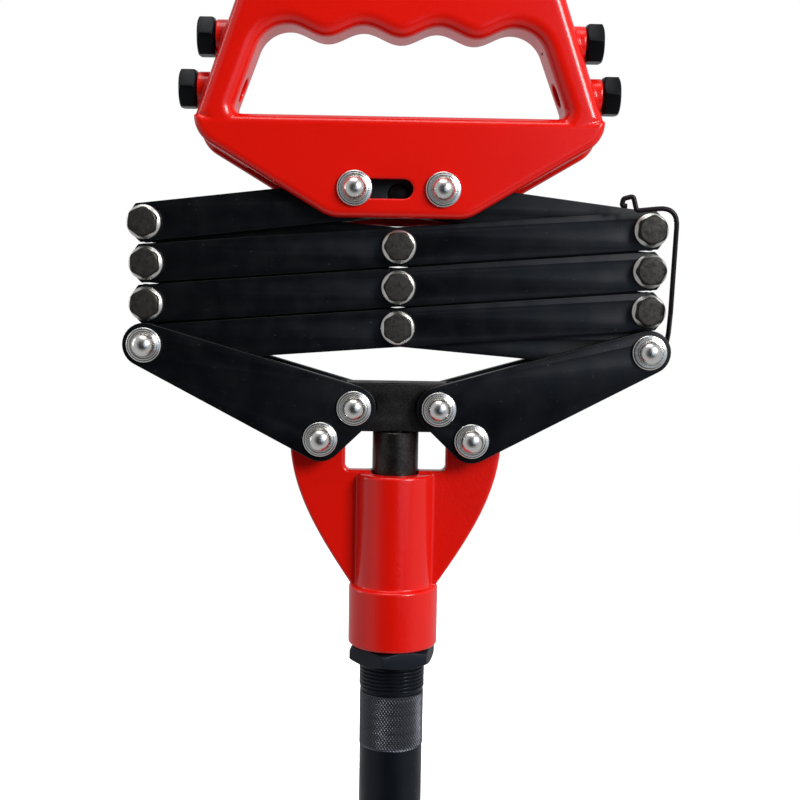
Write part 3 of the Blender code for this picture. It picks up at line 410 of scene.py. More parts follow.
def surface(made, height, strength, depth, sockets):
    """Gives the shader its relief, with its depth in millimetres, and links or sets its other sockets."""
    tree, shader = made.node_tree, made.node_tree.nodes["Principled BSDF"]
    bump = add(tree, "ShaderNodeBump", {"Strength": strength, "Distance": depth * MM}, {"Height": height})
    tree.links.new(bump.outputs["Normal"], shader.inputs["Normal"])
    for name, value in sockets.items():
        if isinstance(value, bpy.types.NodeSocket):
            tree.links.new(value, shader.inputs[name])
        else:
            shader.inputs[name].default_value = value
    return made


def base_colour(key):
    """One of the panel's colours by its name, or a hex code."""
    return hex_to_linear(key) if key.startswith("#") else getattr(colours(), key)


def red_enamel(name, dimple_mm, dimple_depth):
    """Stoving enamel on a die casting: deep even red, soft wide gloss, and the casting's skin under it."""
    made, tree, place = new_material(name)
    flow_mm, shade = 22.0, 0.88
    dimples = clouds(tree, place, dimple_mm, 2.0, 0.45)
    enamel = base_colour("enamel")
    deep = tuple(channel * shade for channel in enamel[:3]) + (1.0,)
    tone = blend(tree, clouds(tree, place, flow_mm, 1.0), deep, enamel)
    gloss = spread(tree, dimples, (0.0, 1.0), (0.14, 0.28))
    return surface(made, dimples, 0.45, dimple_depth,
                   {"Base Color": tone, "Roughness": gloss, "Specular IOR Level": 0.45})


def black_oxide(name, base, rough, grain_mm, metal):
    """Hot blackened steel: near black, oily satin, with a faint grain and a few paler rubbed specks."""
    made, tree, place = new_material(name)
    cloud_mm, speck_mm, rubbed_grey = 9.0, 1.1, (0.16, 0.16, 0.17, 1.0)
    grain = clouds(tree, place, grain_mm, 4.0, 0.6)
    rubbed = spread(tree, clouds(tree, place, speck_mm, 1.0), (0.74, 0.82), (0.0, 0.22))
    gloss = spread(tree, clouds(tree, place, cloud_mm, 3.0), (0.25, 0.75), (rough - 0.06, rough + 0.10))
    return surface(made, grain, 0.25, 0.04,
                   {"Base Color": blend(tree, rubbed, base_colour(base), rubbed_grey), "Roughness": gloss,
                    "Metallic": metal, "Specular IOR Level": 0.35})


def phosphated(name, base, pale):
    """Phosphated bolt steel: a dull brown grey that mottles, with the forging's grain."""
    made, tree, place = new_material(name)
    mottle_mm = 1.8
    mottle = clouds(tree, place, mottle_mm, 6.0, 0.7)
    share = spread(tree, mottle, (0.35, 0.70), (0.0, 1.0))
    return surface(made, mottle, 0.35, 0.06,
                   {"Base Color": blend(tree, share, base_colour(base), base_colour(pale)),
                    "Roughness": spread(tree, share, (0.0, 1.0), (0.58, 0.44)), "Metallic": 0.75})


def bright_steel(name, base, rough, dent_mm):
    """Bright zinc or turned steel: a clear mirror broken by small dents and smears."""
    made, tree, place = new_material(name)
    dents = clouds(tree, place, dent_mm, 3.0, 0.6)
    return surface(made, dents, 0.03, 0.02,
                   {"Base Color": base_colour(base),
                    "Roughness": spread(tree, dents, (0.3, 0.7), (rough - 0.04, rough + 0.08)), "Metallic": 1.0})


def ground_steel(name, base, rough):
    """Ground and oiled bar steel: dark grey with a coarse grain and fine pits."""
    made, tree, place = new_material(name)
    pit_mm, patch_mm, paler = 0.7, 5.0, 3.0
    pits = clouds(tree, place, pit_mm, 5.0, 0.7)
    share = spread(tree, pits, (0.35, 0.75), (0.0, 1.0))
    dark = base_colour(base)
    pale = tuple(min(1.0, channel * paler) for channel in dark[:3]) + (1.0,)
    gloss = spread(tree, clouds(tree, place, patch_mm, 3.0), (0.3, 0.7), (rough - 0.05, rough + 0.12))
    return surface(made, pits, 0.4, 0.05,
                   {"Base Color": blend(tree, share, dark, pale), "Roughness": gloss, "Metallic": 0.9})


# Each finish: its maker, the material's name, and the values that the maker takes
FINISHES = {
    "handle_enamel": (red_enamel, "stoving_enamel_die_cast", 1.3, 0.05),
    "housing_enamel": (red_enamel, "stoving_enamel_sand_cast", 1.2, 0.12),
    "plate": (black_oxide, "black_oxide_strip_steel", "plate", 0.35, 0.5, 0.15),
    "wire": (black_oxide, "black_oxide_spring_wire", "latch", 0.30, 0.8, 0.6),
    "tube": (black_oxide, "black_oxide_drawn_tube", "barrel", 0.34, 0.35, 0.7),
    "knurl": (black_oxide, "black_oxide_rubbed_knurl", "#55575C", 0.36, 0.35, 0.9),
    "lock_nut": (black_oxide, "black_oxide_forged_nut", "barrel", 0.44, 1.0, 0.6),
    "spare": (black_oxide, "black_oxide_turned_hexagon", "plate", 0.34, 0.4, 0.6),
    "bolt_face": (phosphated, "phosphated_steel_forged", "bolt_face", "#514D48"),
    "bolt_rim": (bright_steel, "rolled_flange_steel", "#D8D6D0", 0.30, 0.8),
    # The head's chamfer finish is dark on purpose: painted shade, the shadow line round the bolt's face
    "bolt_edge": (bright_steel, "rubbed_head_edge_steel", "#3B3834", 0.45, 0.8),
    "zinc": (bright_steel, "bright_zinc_plated_steel", "zinc", 0.24, 1.2),
    "block": (ground_steel, "ground_block_steel", "block", 0.46),
    "rod": (ground_steel, "drawn_rod_steel", "#2C2927", 0.30),
    "spring": (bright_steel, "drawn_spring_wire", "#8F9092", 0.3, 0.6),
}


@functools.cache
def finish(name):
    """Each finish is made once, when its first piece asks for it."""
    maker, *values = FINISHES[name]
    return maker(*values)


# Handle casting, with heights from its pins

HANDLE_HALF_THICK = 13.0 * MM
FRAME_ROUND = 5.2 * MM
APRON_ROUND = 2.8 * MM
PIN_HOLE = 3.7 * MM
LINK_GAP_HALF = 7.1 * MM
OPENING_FLOOR = 27.4 * MM
CASTING_STEPS = 12


def grip_opening(middle, base):
    """The finger opening: four arches between three bumps, the outer two run round into the slanting sides."""
    crest, depth, pitch = mm(60.5, 4.3, 28.3)
    floor_half, top_half, floor_round = mm(63.49, 51.20, 2.5)
    corner_steps, steps = 14, 96
    end = 1.5 * pitch
    corner = math.pi / 2 + math.atan((floor_half - top_half) / (crest - OPENING_FLOOR))
    turn = (top_half - end) * math.tan(corner / 2)
    outline = rounded([(-top_half, crest, turn), (-floor_half, OPENING_FLOOR, floor_round),
                       (floor_half, OPENING_FLOOR, floor_round), (top_half, crest, turn)], corner_steps)
    for step in range(1, steps):
        x = end - 2 * end * step / steps
        outline.append((x, crest - depth * (1 + math.cos(math.tau * x / pitch)) / 2))
    return [(middle + x, base + z) for x, z in outline]


def apron_outline(middle, base, hips, top, hang=0.0):
    """The walls below the grip: a rounded foot that widens to the hips, and may hang lower."""
    foot, foot_low, foot_round = mm(26.2, 10.9, 14.0)
    hip_up, hip_round = mm(19.5, 12.0)
    return rounded(both_sides(middle, base, [(foot, -foot_low - hang, foot_round),
                                             (hips, hip_up - hang, hip_round), (hips, top, 0)]), CASTING_STEPS)


def add_spare_bosses(casting, middle, base):
    """Four bosses for the spare nosepieces; the lower two's holes open into the finger opening."""
    boss, boss_long, hole, seat_depth = mm(6.6, 11.3, 4.5, 6.9)
    lower_below, open_hole, blind_hole = mm(47.0, 26.0, 16.0)
    for index in (1, 2, 3, 4):
        low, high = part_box(f"spare_nosepiece_{index}")
        side, axis = (-1, "X") if (low.x + high.x) / 2 < middle else (1, "-X")
        level = (low.z + high.z) / 2
        outermost = abs((low.x if side < 0 else high.x) - middle)
        seat = (middle + side * (outermost - seat_depth), 0, level)
        combine(casting, cylinder(f"spare_boss_{index}", boss, 0, boss_long, 48, axis, seat), "UNION")
        through = open_hole if level - base < lower_below else blind_hole
        combine(casting, cylinder(f"spare_hole_{index}", hole, -MM, through, 40, axis, seat))


def build_handle():
    fixed = PIVOT["handle_turn"]
    base = fixed.z
    sliding = middle_of("handle_pin_sliding")
    middle = (fixed.x + sliding.x) / 2
    frame_low = OPENING_FLOOR - 2 * FRAME_ROUND - 3.0 * MM
    low_half, waist_half, waist_up, shoulder_half, shoulder_up, shoulder_round = mm(
        66.6, 77.1, 26.7, 58.0, 82.2, 15.0)
    outer = rounded(both_sides(middle, base, [(low_half, frame_low, 0), (waist_half, waist_up, 0),
                                              (shoulder_half, shoulder_up, shoulder_round)]), CASTING_STEPS)
    face = HANDLE_HALF_THICK - 0.2 * MM
    casting = plate("handle_body", [outer, grip_opening(middle, base)], -face, face, FRAME_ROUND, 7)
    hips, apron_top = mm(77.5, 26.5)
    combine(casting, plate("apron", [apron_outline(middle, base, hips, apron_top)],
                           -HANDLE_HALF_THICK, HANDLE_HALF_THICK, APRON_ROUND, 4), "UNION")
    add_spare_bosses(casting, middle, base)
    gap_long, gap_low, gap_top = mm(80.0, 14.0, 8.8)
    combine(casting, block("link_gap", (middle - gap_long, -LINK_GAP_HALF, base - gap_low),
                           (middle + gap_long, LINK_GAP_HALF, base + gap_top)))
    # The back wall hangs lower than the front one, as its dark red edge below the front wall shows
    hips, wall_top, hang, thick, inset, wall_round = mm(77.3, 24.0, 2.4, 5.6, 0.05, 2.2)
    back_wall = plate("back_wall", [apron_outline(middle, base, hips, wall_top, hang)],
                      HANDLE_HALF_THICK - thick, HANDLE_HALF_THICK - inset, wall_round, 4)
    depth = HANDLE_HALF_THICK + 2 * MM
    slot_end = middle + 1.7 * MM + PIN_HOLE
    for wall in (casting, back_wall):
        combine(wall, plate("pin_slot", [obround(sliding.x - PIN_HOLE, slot_end, base - PIN_HOLE,
                                                 base + PIN_HOLE)], -depth, depth))
        combine(wall, cylinder("fixed_pin_hole", PIN_HOLE, -depth, depth, 40, "Y", (fixed.x, 0, base)))
    casting = weld(casting)
    join(casting, weld(back_wall))
    casting = soften(casting, sizes().casting_grain, 4)
    finish_piece(casting, "handle_casting", "handle_enamel", 60.0)


# Housing casting, with depths below the lever pivots

EAR_INSIDE = 9.4 * MM


def build_housing():
    left, right = PIVOT["tong_fold"], PIVOT["lever_right_turn"]
    top, half_ears = left.z, right.x
    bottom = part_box("housing_casting")[0].z
    ear, boss, socket, fillet = mm(12.2, 15.15, 17.6, 2.2)
    step_z, root, floor, boss_top, ledge = (top - drop for drop in mm(58.8, 61.0, 13.1, 14.2, 62.7))
    flank, steps = [], 32
    for step in range(steps):
        share = step / steps
        width = boss + (half_ears + ear - boss) * math.sin(share * math.pi / 2)
        flank.append((width, root + (top - root) * share))
    inner_x = half_ears - EAR_INSIDE
    half = (flank + arc(half_ears, top, ear, 0, math.pi - math.acos(EAR_INSIDE / ear), steps)
            + arc(inner_x - fillet, floor + fillet, fillet, 0, -math.pi / 2, 8))
    outline = half + [(-x, z) for x, z in reversed(half)]
    web, web_round, edge, upper_edge, lower_edge = mm(3.3, 1.2, 1.0, 0.6, 0.8)
    casting = plate("housing_body", [outline], -web, web, web_round, 4)
    combine(casting, turned("boss", [
        (0, boss_top), (boss - edge, boss_top), (boss - edge * 0.3, boss_top - edge * 0.3),
        (boss, boss_top - edge), (boss, step_z), (socket - upper_edge, step_z), (socket, step_z - upper_edge),
        (socket, bottom + lower_edge), (socket - lower_edge, bottom), (0, bottom)], 96), "UNION")
    ear_face, ear_depth, past = mm(6.0, 6.8, 8.0)
    for side in (-1, 1):
        combine(casting, cylinder(f"ear_face_{side}", ear_face, -ear_depth, ear_depth, 64, "Y",
                                  (side * half_ears, 0, top)), "UNION")
    rod_bore, thread_bore = mm(9.4, 13.2)
    combine(casting, turned("bores", [(0, top), (rod_bore, top), (rod_bore, ledge), (thread_bore, ledge),
                                      (thread_bore, bottom - MM), (0, bottom - MM)], 64))
    for side in (-1, 1):
        combine(casting, cylinder(f"ear_hole_{side}", PIN_HOLE, -past, past, 40, "Y",
                                  (side * half_ears, 0, top)))
    casting = soften(weld(casting), 0.40 * MM, 2)
    finish_piece(casting, "housing_casting", "housing_enamel", 60.0)


# Tong links and levers

LINK_HALF_WIDE = 7.4 * MM
LINK_BEYOND_HOLE = 5.6 * MM
LINK_END_RADIUS = 10.0 * MM
BOLT_HOLE = 4.3 * MM
# Depths of the layers either side of the middle plane
INNER_HALF = 3.0 * MM
OUTER_NEAR, OUTER_FAR = mm(3.3, 6.8)
LEVER_NEAR, LEVER_FAR = mm(7.1, 11.6)
TOP_LINKS_LIE = math.radians(6.9)

LINKS = (
    ("outer_3", ("left_end", "centre_3", "right_3"), (0,)),
    ("outer_2", ("left_3", "centre_2", "right_2"), ()),
    ("outer_1", ("left_2", "centre_1", "right_1"), ()),
    ("outer_top", ("left_1", "top", "handle_fixed"), (2,)),
    ("inner_3", ("left_3", "centre_3", "right_end"), (2,)),
    ("inner_2", ("left_2", "centre_2", "right_3"), ()),
    ("inner_1", ("left_1_eased", "centre_1", "right_2"), ()),
    ("inner_top", ("handle_sliding", "top", "right_1"), (0,)),
)


def link_outline(first, last):
    spread_angle = math.asin(LINK_HALF_WIDE / LINK_END_RADIUS)
    set_in = LINK_END_RADIUS - LINK_BEYOND_HOLE
    return (arc(last - set_in, 0, LINK_END_RADIUS, -spread_angle, spread_angle, 16)
            + arc(first + set_in, 0, LINK_END_RADIUS, math.pi - spread_angle, math.pi + spread_angle, 16))


def stations():
    """Where each hole of the tongs lies at rest, in the middle plane."""
    found = {f"{side}_{row}": middle_of(f"tong_bolt_{side}_{row}")
             for side in ("left", "centre", "right") for row in (1, 2, 3)}
    eased = found["right_1"]
    found.update(left_end=PIVOT["outer_3_turn"], right_end=PIVOT["latch_swing"], top=PIVOT["outer_top_turn"],
                 handle_fixed=PIVOT["handle_turn"], handle_sliding=middle_of("handle_pin_sliding"),
                 left_1_eased=Vector((-eased.x, 0, eased.z)))
    return {name: Vector((at.x, 0, at.z)) for name, at in found.items()}


def relief(centre_x, start, end):
    """The open channel that lets the other top link's handle pin pass."""
    stub, half = mm(16.85, 3.9)
    nose = (centre_x + stub * math.cos(start), stub * math.sin(start))
    way = math.copysign(math.pi, start - end)
    return (arc(centre_x, 0, stub + half, end, start, 20)
            + arc(*nose, half, start, start + way, 16)[1:-1]
            + arc(centre_x, 0, stub - half, start, end, 20))


def build_links():
    spots = stations()
    rivet = raised([(0, 6.5), (3.4, 6.5), (4.0, 6.1), (4.0, -6.1), (3.4, -6.5), (0, -6.5)], 0)
    for name, holes, pin_holes in LINKS:
        points = [spots[hole] for hole in holes]
        origin = points[0]
        along = points[-1] - origin
        angle = math.atan2(along.z, along.x)
        places = [(point - origin).length for point in points]
        loops = [laid_along(link_outline(0, places[-1]), origin, angle)]
        for index, place in enumerate(places):
            if name == "inner_top" and holes[index] == "top":
                continue
            radius = PIN_HOLE if index in pin_holes else BOLT_HOLE
            loops.append(laid_along(circle(place, 0, radius), origin, angle))
        layers = ([("_front", -OUTER_FAR, -OUTER_NEAR), ("_back", OUTER_NEAR, OUTER_FAR)]
                  if name.startswith("outer") else [("", -INNER_HALF, INNER_HALF)])
        for layer, front, back in layers:
            link = plate(f"strip_{name}{layer}", loops, front, back, sizes().plate_edge, 2)
            if "top" in holes:
                start, way = (math.pi - 2 * TOP_LINKS_LIE, -1) if layer else (2 * TOP_LINKS_LIE, 1)
                channel = relief(places[1], start, start + way * math.pi / 3)
                combine(link, plate("channel", [laid_along(channel, origin, angle)], front - MM, back + MM))
                if not layer:
                    combine(link, turned("flush_rivet", rivet, 48, "Y", spots["top"]), "UNION")
                link = weld(link)
            finish_piece(link, f"tong_link_{name}{layer}", "plate")


def build_levers():
    ear_round, end_round, crank_round = mm(8.7, 8.4, 8.5)
    spots = stations()
    for side, sign, ear in (("left", -1, PIVOT["tong_fold"]), ("right", 1, PIVOT["lever_right_turn"])):
        crank = middle_of(f"crosshead_pin_{side}")
        end = spots[f"{side}_end"]
        circles = [(ear.x, ear.z, ear_round), (end.x, end.z, end_round), (crank.x, crank.z, crank_round)]
        if sign < 0:
            circles = [circles[0], circles[2], circles[1]]
        loops = [hull(circles)] + [circle(p.x, p.z, PIN_HOLE) for p in (ear, end, crank)]
        for layer, front, back in (("front", -LEVER_FAR, -LEVER_NEAR), ("back", LEVER_NEAR, LEVER_FAR)):
            lever = plate(f"bell_crank_{side}_{layer}", loops, front, back, sizes().plate_edge, 2)
            finish_piece(lever, f"lever_{side}_{layer}", "plate")


# Bolts, nuts and pins

BOLT_FLATS = 10.5 * MM
NUT_FLATS = 13.0 * MM
CAD_BOLT_HALF = 6.5 * MM
BOLT_SEAT = 7.1 * MM
HEAD_HIGH = 5.1 * MM
NUT_HIGH = 6.2 * MM
BOLT_TAIL = 1.2 * MM
UP = Vector((0, 0, 1))
# How far each bolt was turned when it stopped, in degrees from a level flat
BOLT_TURNS = {"left_1": 24, "left_2": 33, "left_3": 27, "centre_1": 2, "centre_2": -2, "centre_3": 31,
              "right_1": 26, "right_2": 3, "right_3": 22}
# The flange under a bolt's head: a short cone with a rolled rim
FLANGE_ROWS = ((0, 1.9), (5.0, 1.9), (5.5, 1.50), (6.1, 1.20), (6.45, 0.95), (6.6, 0.65), (6.6, 0.3), (6.4, 0.0),
               (0, 0))
# From the foot of a pin's dome down to its flange's rolled rim
DOME_FOOT_ROWS = ((4.55, 0.10), (4.62, -0.20), (4.80, -0.28), (4.98, -0.15), (5.20, 0.0), (5.45, -0.02),
                  (5.65, -0.18), (5.90, -0.28), (6.20, -0.30), (6.48, -0.42), (6.66, -0.65), (6.75, -1.0))
PIN_TAIL_ROWS = ((5.2, 0.9), (5.0, 0.45), (4.6, 0.15), (4.0, 0), (1.6, 0), (1.2, 0.3), (0, 0.3))
PIN_RADIUS, PIN_FLANGE, PIN_TAIL, PIN_GAP, PIN_FLANGE_THICK = mm(3.4, 6.75, 5.2, 0.3, 1.5)


def hexagon(name, flats, low, high, face_share, both=False, turn=0.0):
    """A hexagon whose corners are turned down to a round face at the high end, or at both."""
    corner = flats / math.sqrt(3)
    made = cylinder(name, corner, low - MM, high + MM, 6)
    made.data.transform(Matrix.Rotation(turn, 4, "Z"))
    edge, outer = flats / 2 * face_share, corner * 1.03
    fall = (outer - edge) * math.tan(math.radians(30))
    profile = [(0, high), (edge, high), (outer, high - fall)]
    profile += [(outer, low + fall), (edge, low), (0, low)] if both else [(outer, low), (0, low)]
    combine(made, turned(name + "_cone", profile, 72), "INTERSECT")
    return weld(made)


def two_tone(shape, dark, bright):
    """Gives the turned chamfer, whose faces slope from the axis, the bright finish, the rest the dark one."""
    flat, upright = 0.25, 0.97
    coat(shape, dark, bright)
    for face in shape.data.polygons:
        if flat < abs(face.normal.dot(UP)) < upright:
            face.material_index = 1


def flanged_head(name, low, high, turn):
    """A dark hexagon with worn corners standing on its bright flange, along +Z."""
    face_share, worn_share = 0.94, 0.545
    head = hexagon(name, BOLT_FLATS, low + MM, high, face_share, False, turn)
    combine(head, cylinder(name + "_wear", BOLT_FLATS * worn_share, low, high + MM, 96), "INTERSECT")
    head = break_edges(weld(head), 0.3 * MM, 3)
    # The chamfer round the face takes the dark chamfer finish: painted shade for the shadow line round the face
    two_tone(head, "bolt_face", "bolt_edge")
    flange = turned(name + "_flange", raised(FLANGE_ROWS, low), 64)
    coat(flange, "bolt_rim")
    head.data.materials.append(finish("bolt_rim"))
    join(head, flange)
    return head


def build_bolts():
    shank_radius, tip_radius, tip = mm(4.0, 3.5, 0.5)
    for station, degrees in BOLT_TURNS.items():
        at = middle_of(f"tong_bolt_{station}")
        turn = math.radians(30 + degrees)
        place = Matrix.Translation((at.x, 0, at.z)) @ TURN_AXES["Y"]
        head = flanged_head(f"flange_bolt_{station}", BOLT_SEAT, BOLT_SEAT + HEAD_HIGH, turn)
        tail = -(BOLT_SEAT + NUT_HIGH + BOLT_TAIL)
        shank = turned("shank", [(0, BOLT_SEAT + MM), (shank_radius, BOLT_SEAT + MM), (shank_radius, tail + tip),
                                 (tip_radius, tail), (0, tail)], 40)
        coat(shank, "bolt_face")
        join(head, shank)
        head.data.transform(place)
        finish_piece(head, f"tong_bolt_{station}", None)
        nut = hexagon(f"hex_nut_{station}", NUT_FLATS, -BOLT_SEAT - NUT_HIGH, -BOLT_SEAT, 0.90, True, turn + 0.2)
        combine(nut, cylinder("bore", BOLT_HOLE, -20 * MM, 0, 40))
        nut = break_edges(weld(nut), 0.2 * MM)
        two_tone(nut, "bolt_face", "bolt_rim")
        nut.data.transform(place)
        finish_piece(nut, f"tong_nut_{station}", None)


def dome_profile(face):
    """From the dome's tip down to the pin: dome, ring round its foot, and the flange's rolled rim."""
    seat = face + PIN_GAP
    top = seat + PIN_FLANGE_THICK
    wide, tall, steps = 4.55 * MM, 4.2 * MM, 16
    turns = [math.pi / 2 * i / steps for i in range(steps)]
    return ([(wide * math.sin(a), top + tall * math.cos(a)) for a in turns] + raised(DOME_FOOT_ROWS, top)
            + [(PIN_FLANGE, seat), (PIN_RADIUS, seat)])


def tail_profile(face):
    back = -face - PIN_GAP
    return [(PIN_RADIUS, back), (PIN_TAIL, back)] + raised(PIN_TAIL_ROWS, back - PIN_FLANGE_THICK)


def build_pins():
    sleeve_radius, steps, sharp = 5.5 * MM, 72, 50.0
    sleeve = [(PIN_RADIUS, INNER_HALF), (sleeve_radius, INNER_HALF), (sleeve_radius, -INNER_HALF),
              (PIN_RADIUS, -INNER_HALF)]
    levers, handle = LEVER_FAR, HANDLE_HALF_THICK
    pins = [(f"domed_{node}", node, dome_profile(face) + extra + tail_profile(face)) for node, face, extra in (
        ("ear_pin_left", levers, []), ("ear_pin_right", levers, []), ("crosshead_pin_left", levers, []),
        ("crosshead_pin_right", levers, []), ("tong_pin_left", levers, sleeve),
        ("handle_pin_fixed", handle, []), ("handle_pin_sliding", handle, []))]
    # The right outer pin is in two halves, one to each lever plate
    pins.append(("domed_tong_pin_right", "tong_pin_right_front",
                 dome_profile(levers) + [(PIN_RADIUS, OUTER_NEAR), (0, OUTER_NEAR)]))
    pins.append(("peened_tong_pin_right", "tong_pin_right_back",
                 [(0, -OUTER_NEAR), (PIN_RADIUS, -OUTER_NEAR)] + tail_profile(levers)))
    for name, node, profile in pins:
        at = middle_of("tong_pin_right_front" if node == "tong_pin_right_back" else node)
        pin = turned(name, profile, steps, "Y", (at.x, 0, at.z))
        finish_piece(pin, node, "zinc", sharp)


# Crosshead and pull rod

def build_crosshead():
    low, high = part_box("crosshead")
    middle = (low.z + high.z) / 2
    half, up = high.x, (high.z - low.z) / 2
    ear = PIVOT["lever_right_turn"]
    pin = middle_of("crosshead_pin_right")
    reach = math.hypot(ear.x - pin.x, pin.z - ear.z)
    slot_play, half_deep, edge = mm(0.6, 6.8, 0.7)
    loops = [[(-half, middle - up), (half, middle - up), (half, middle + up), (-half, middle + up)]]
    for sign in (-1, 1):
        ends = sorted((sign * (ear.x - reach - PIN_HOLE), sign * (pin.x + PIN_HOLE)))
        loops.append(obround(*ends, middle - PIN_HOLE, middle + PIN_HOLE + slot_play))
    head = plate("crosshead_block", loops, -half_deep, half_deep, edge, 3)
    gap, notch_deep, thread, thread_long = mm(0.3, 3.7, 5.8, 11.3)
    notch = ear.x - EAR_INSIDE - gap
    for sign in (-1, 1):
        ends = sorted((sign * notch, sign * (half + MM)))
        combine(head, block(f"ear_notch_{sign}", (ends[0], -notch_deep, low.z - MM),
                            (ends[1], notch_deep, high.z + MM)))
    combine(head, cylinder("rod_socket", thread, low.z - MM, low.z + thread_long, 48))
    finish_piece(weld(head), "crosshead", "block")
    rod_low, rod_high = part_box("pull_rod")
    top = low.z - gap
    case_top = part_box("jaw_case")[1].z + gap
    rod = turned("drawn_pull_rod", raised([(0, 0), (5.2, 0), (5.5, -0.3)], rod_high.z)
                 + raised([(5.5, 0), (8.7, 0), (9.0, -0.3)], top)
                 + raised([(9.0, 0.3), (8.7, 0), (5.5, 0)], case_top)
                 + raised([(5.5, 0), (0, 0)], rod_low.z), 96)
    finish_piece(rod, "pull_rod", "rod")


# Barrel, lock nut and nosepieces

def ringed_tube(name, rows, around, radius_at):
    """An open tube: rows of heights and a radius for each angle and height."""
    angles = np.linspace(0, math.tau, around, endpoint=False)
    turn, height = np.meshgrid(angles, np.array(rows))
    radius = radius_at(turn, height)
    points = np.stack([radius * np.cos(turn), radius * np.sin(turn), height], -1).reshape(-1, 3)
    faces = []
    for low in range(0, (len(rows) - 1) * around, around):
        faces += [(low + i, low + (i + 1) % around, low + around + (i + 1) % around, low + around + i)
                  for i in range(around)]
    mesh = bpy.data.meshes.new(name)
    mesh.from_pydata(points.tolist(), [], faces)
    return placed(name, mesh)


def build_barrel():
    low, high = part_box("barrel_tube")
    top, bottom = high.z, low.z
    thread, band = mm(12.9, 12.6)
    knurl_top = top - 38.5 * MM
    knurl_low = knurl_top - 21.8 * MM
    pitch, depth, run_out, lead = sizes().thread_pitch, *mm(0.62, 1.2, 0.8)

    def thread_radius(turn, height):
        phase = (height / pitch - turn / math.tau) % 1.0
        ridge = np.clip(2.3 * (1 - np.abs(2 * phase - 1)) - 0.35, 0, 1)
        fade = np.clip((top - height) / MM, 0, 1) * np.clip((height - knurl_top - run_out) / lead, 0, 1)
        return thread - depth + depth * ridge * fade

    step = sizes().knurl_pitch
    around = round(math.tau * band / step)
    diamond, rise, cut, land = 1.35, *mm(0.05, 0.42, 0.6)

    def knurl_radius(turn, height):
        # Two opposed sets of grooves leave raised diamonds
        first = (turn * around / math.tau + (height - knurl_low) / (step * diamond)) % 1.0
        second = (turn * around / math.tau - (height - knurl_low) / (step * diamond)) % 1.0
        groove = np.minimum(np.abs(2 * first - 1), np.abs(2 * second - 1))
        ends = np.clip(np.minimum(knurl_top - height, height - knurl_low) / land, 0, 1)
        return band + rise - cut * (1 - np.clip(groove * 2.2, 0, 1)) * ends

    root, foot = thread - depth, knurl_top + 0.4 * MM
    threads = ringed_tube("barrel", np.arange(foot, top + 1e-9, pitch / 10).tolist(), 96, thread_radius)
    knurl = ringed_tube("knurl", np.linspace(knurl_low, knurl_top, 110).tolist(), around * 8, knurl_radius)
    plain = turned("plain_length", [(root, foot)] + raised([(12.1, 0.3), (12.1, 0), (12.6, -0.1)], knurl_top),
                   96)
    lower = turned("lower_length", raised([(12.6, 0), (12.5, -0.1)], knurl_low) + raised(
        [(12.5, 11.4), (12.4, 10.8), (9.6, 0.4), (9.3, 0), (4.5, 0), (4.5, 7.0), (9.8, 7.0)], bottom)
        + raised([(9.8, 0)], top) + [(root, top)], 96)
    coat(threads, "tube", "knurl")
    for piece, name in ((knurl, "knurl"), (plain, "tube"), (lower, "tube")):
        coat(piece, name)
        join(threads, piece)
    finish_piece(threads, "barrel_tube", None, 40.0)


def build_lock_nut():
    low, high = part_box("barrel_lock_nut")
    flats, turn = 31.0 * MM, math.radians(-12.0)
    nut = hexagon("forged_lock_nut", flats, low.z, high.z, 0.97, True, turn)
    combine(nut, turned("lock_nut_bore", raised([(0, 1), (14.2, 1), (13.2, -0.9)], high.z)
                        + raised([(13.2, 0.9), (14.2, -1), (0, -1)], low.z), 72))
    nut = break_edges(weld(nut), 0.4 * MM, 3)
    finish_piece(nut, "barrel_lock_nut", "lock_nut")


def nosepiece(name, node, bore, axis, at):
    """A nosepiece: chamfered hexagon, spigot, and the hole for the mandrel with its worn mouth."""
    flats, hexagon_high, tip, pitch, foot = mm(14.0, 6.6, 15.1, 1.0, 5.0)
    spigot, groove, flat, first = mm(4.2, 3.75, 0.45, 1.1)
    rings = 6
    nose = break_edges(hexagon(name, flats, 0, hexagon_high, 0.94, True), 0.25 * MM)
    profile = [(0, tip), (3.4 * MM, tip), (spigot, tip - 0.8 * MM)]
    for ring in range(rings):
        z = tip - first - ring * pitch
        profile += [(spigot, z), (groove, z - flat), (spigot, z - 2 * flat)]
    profile += [(spigot, foot), (0, foot)]
    combine(nose, turned(name + "_spigot", profile, 48), "UNION")
    combine(nose, turned(name + "_bore", [(0, -MM), (bore + 1.6 * MM, -MM), (bore, 0.6 * MM), (bore, tip + MM),
                                          (0, tip + MM)], 40))
    nose = weld(nose)
    nose.data.transform(Matrix.Translation(at) @ TURN_AXES[axis])
    finish_piece(nose, node, "spare", 30.0)


def build_nosepieces():
    nosepiece("fitted_nosepiece", "nosepiece", 1.7 * MM, "Z", (0, 0, 0))
    centre = (PIVOT["handle_turn"].x + middle_of("handle_pin_sliding").x) / 2
    for index, bore in enumerate(mm(1.1, 1.4, 2.1, 2.4), 1):
        low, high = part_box(f"spare_nosepiece_{index}")
        out, axis = (low.x, "X") if (low.x + high.x) / 2 < centre else (high.x, "-X")
        at = (out, 0, (low.z + high.z) / 2)
        nosepiece(f"spare_hexagon_{index}", f"spare_nosepiece_{index}", bore, axis, at)


# Wire latch

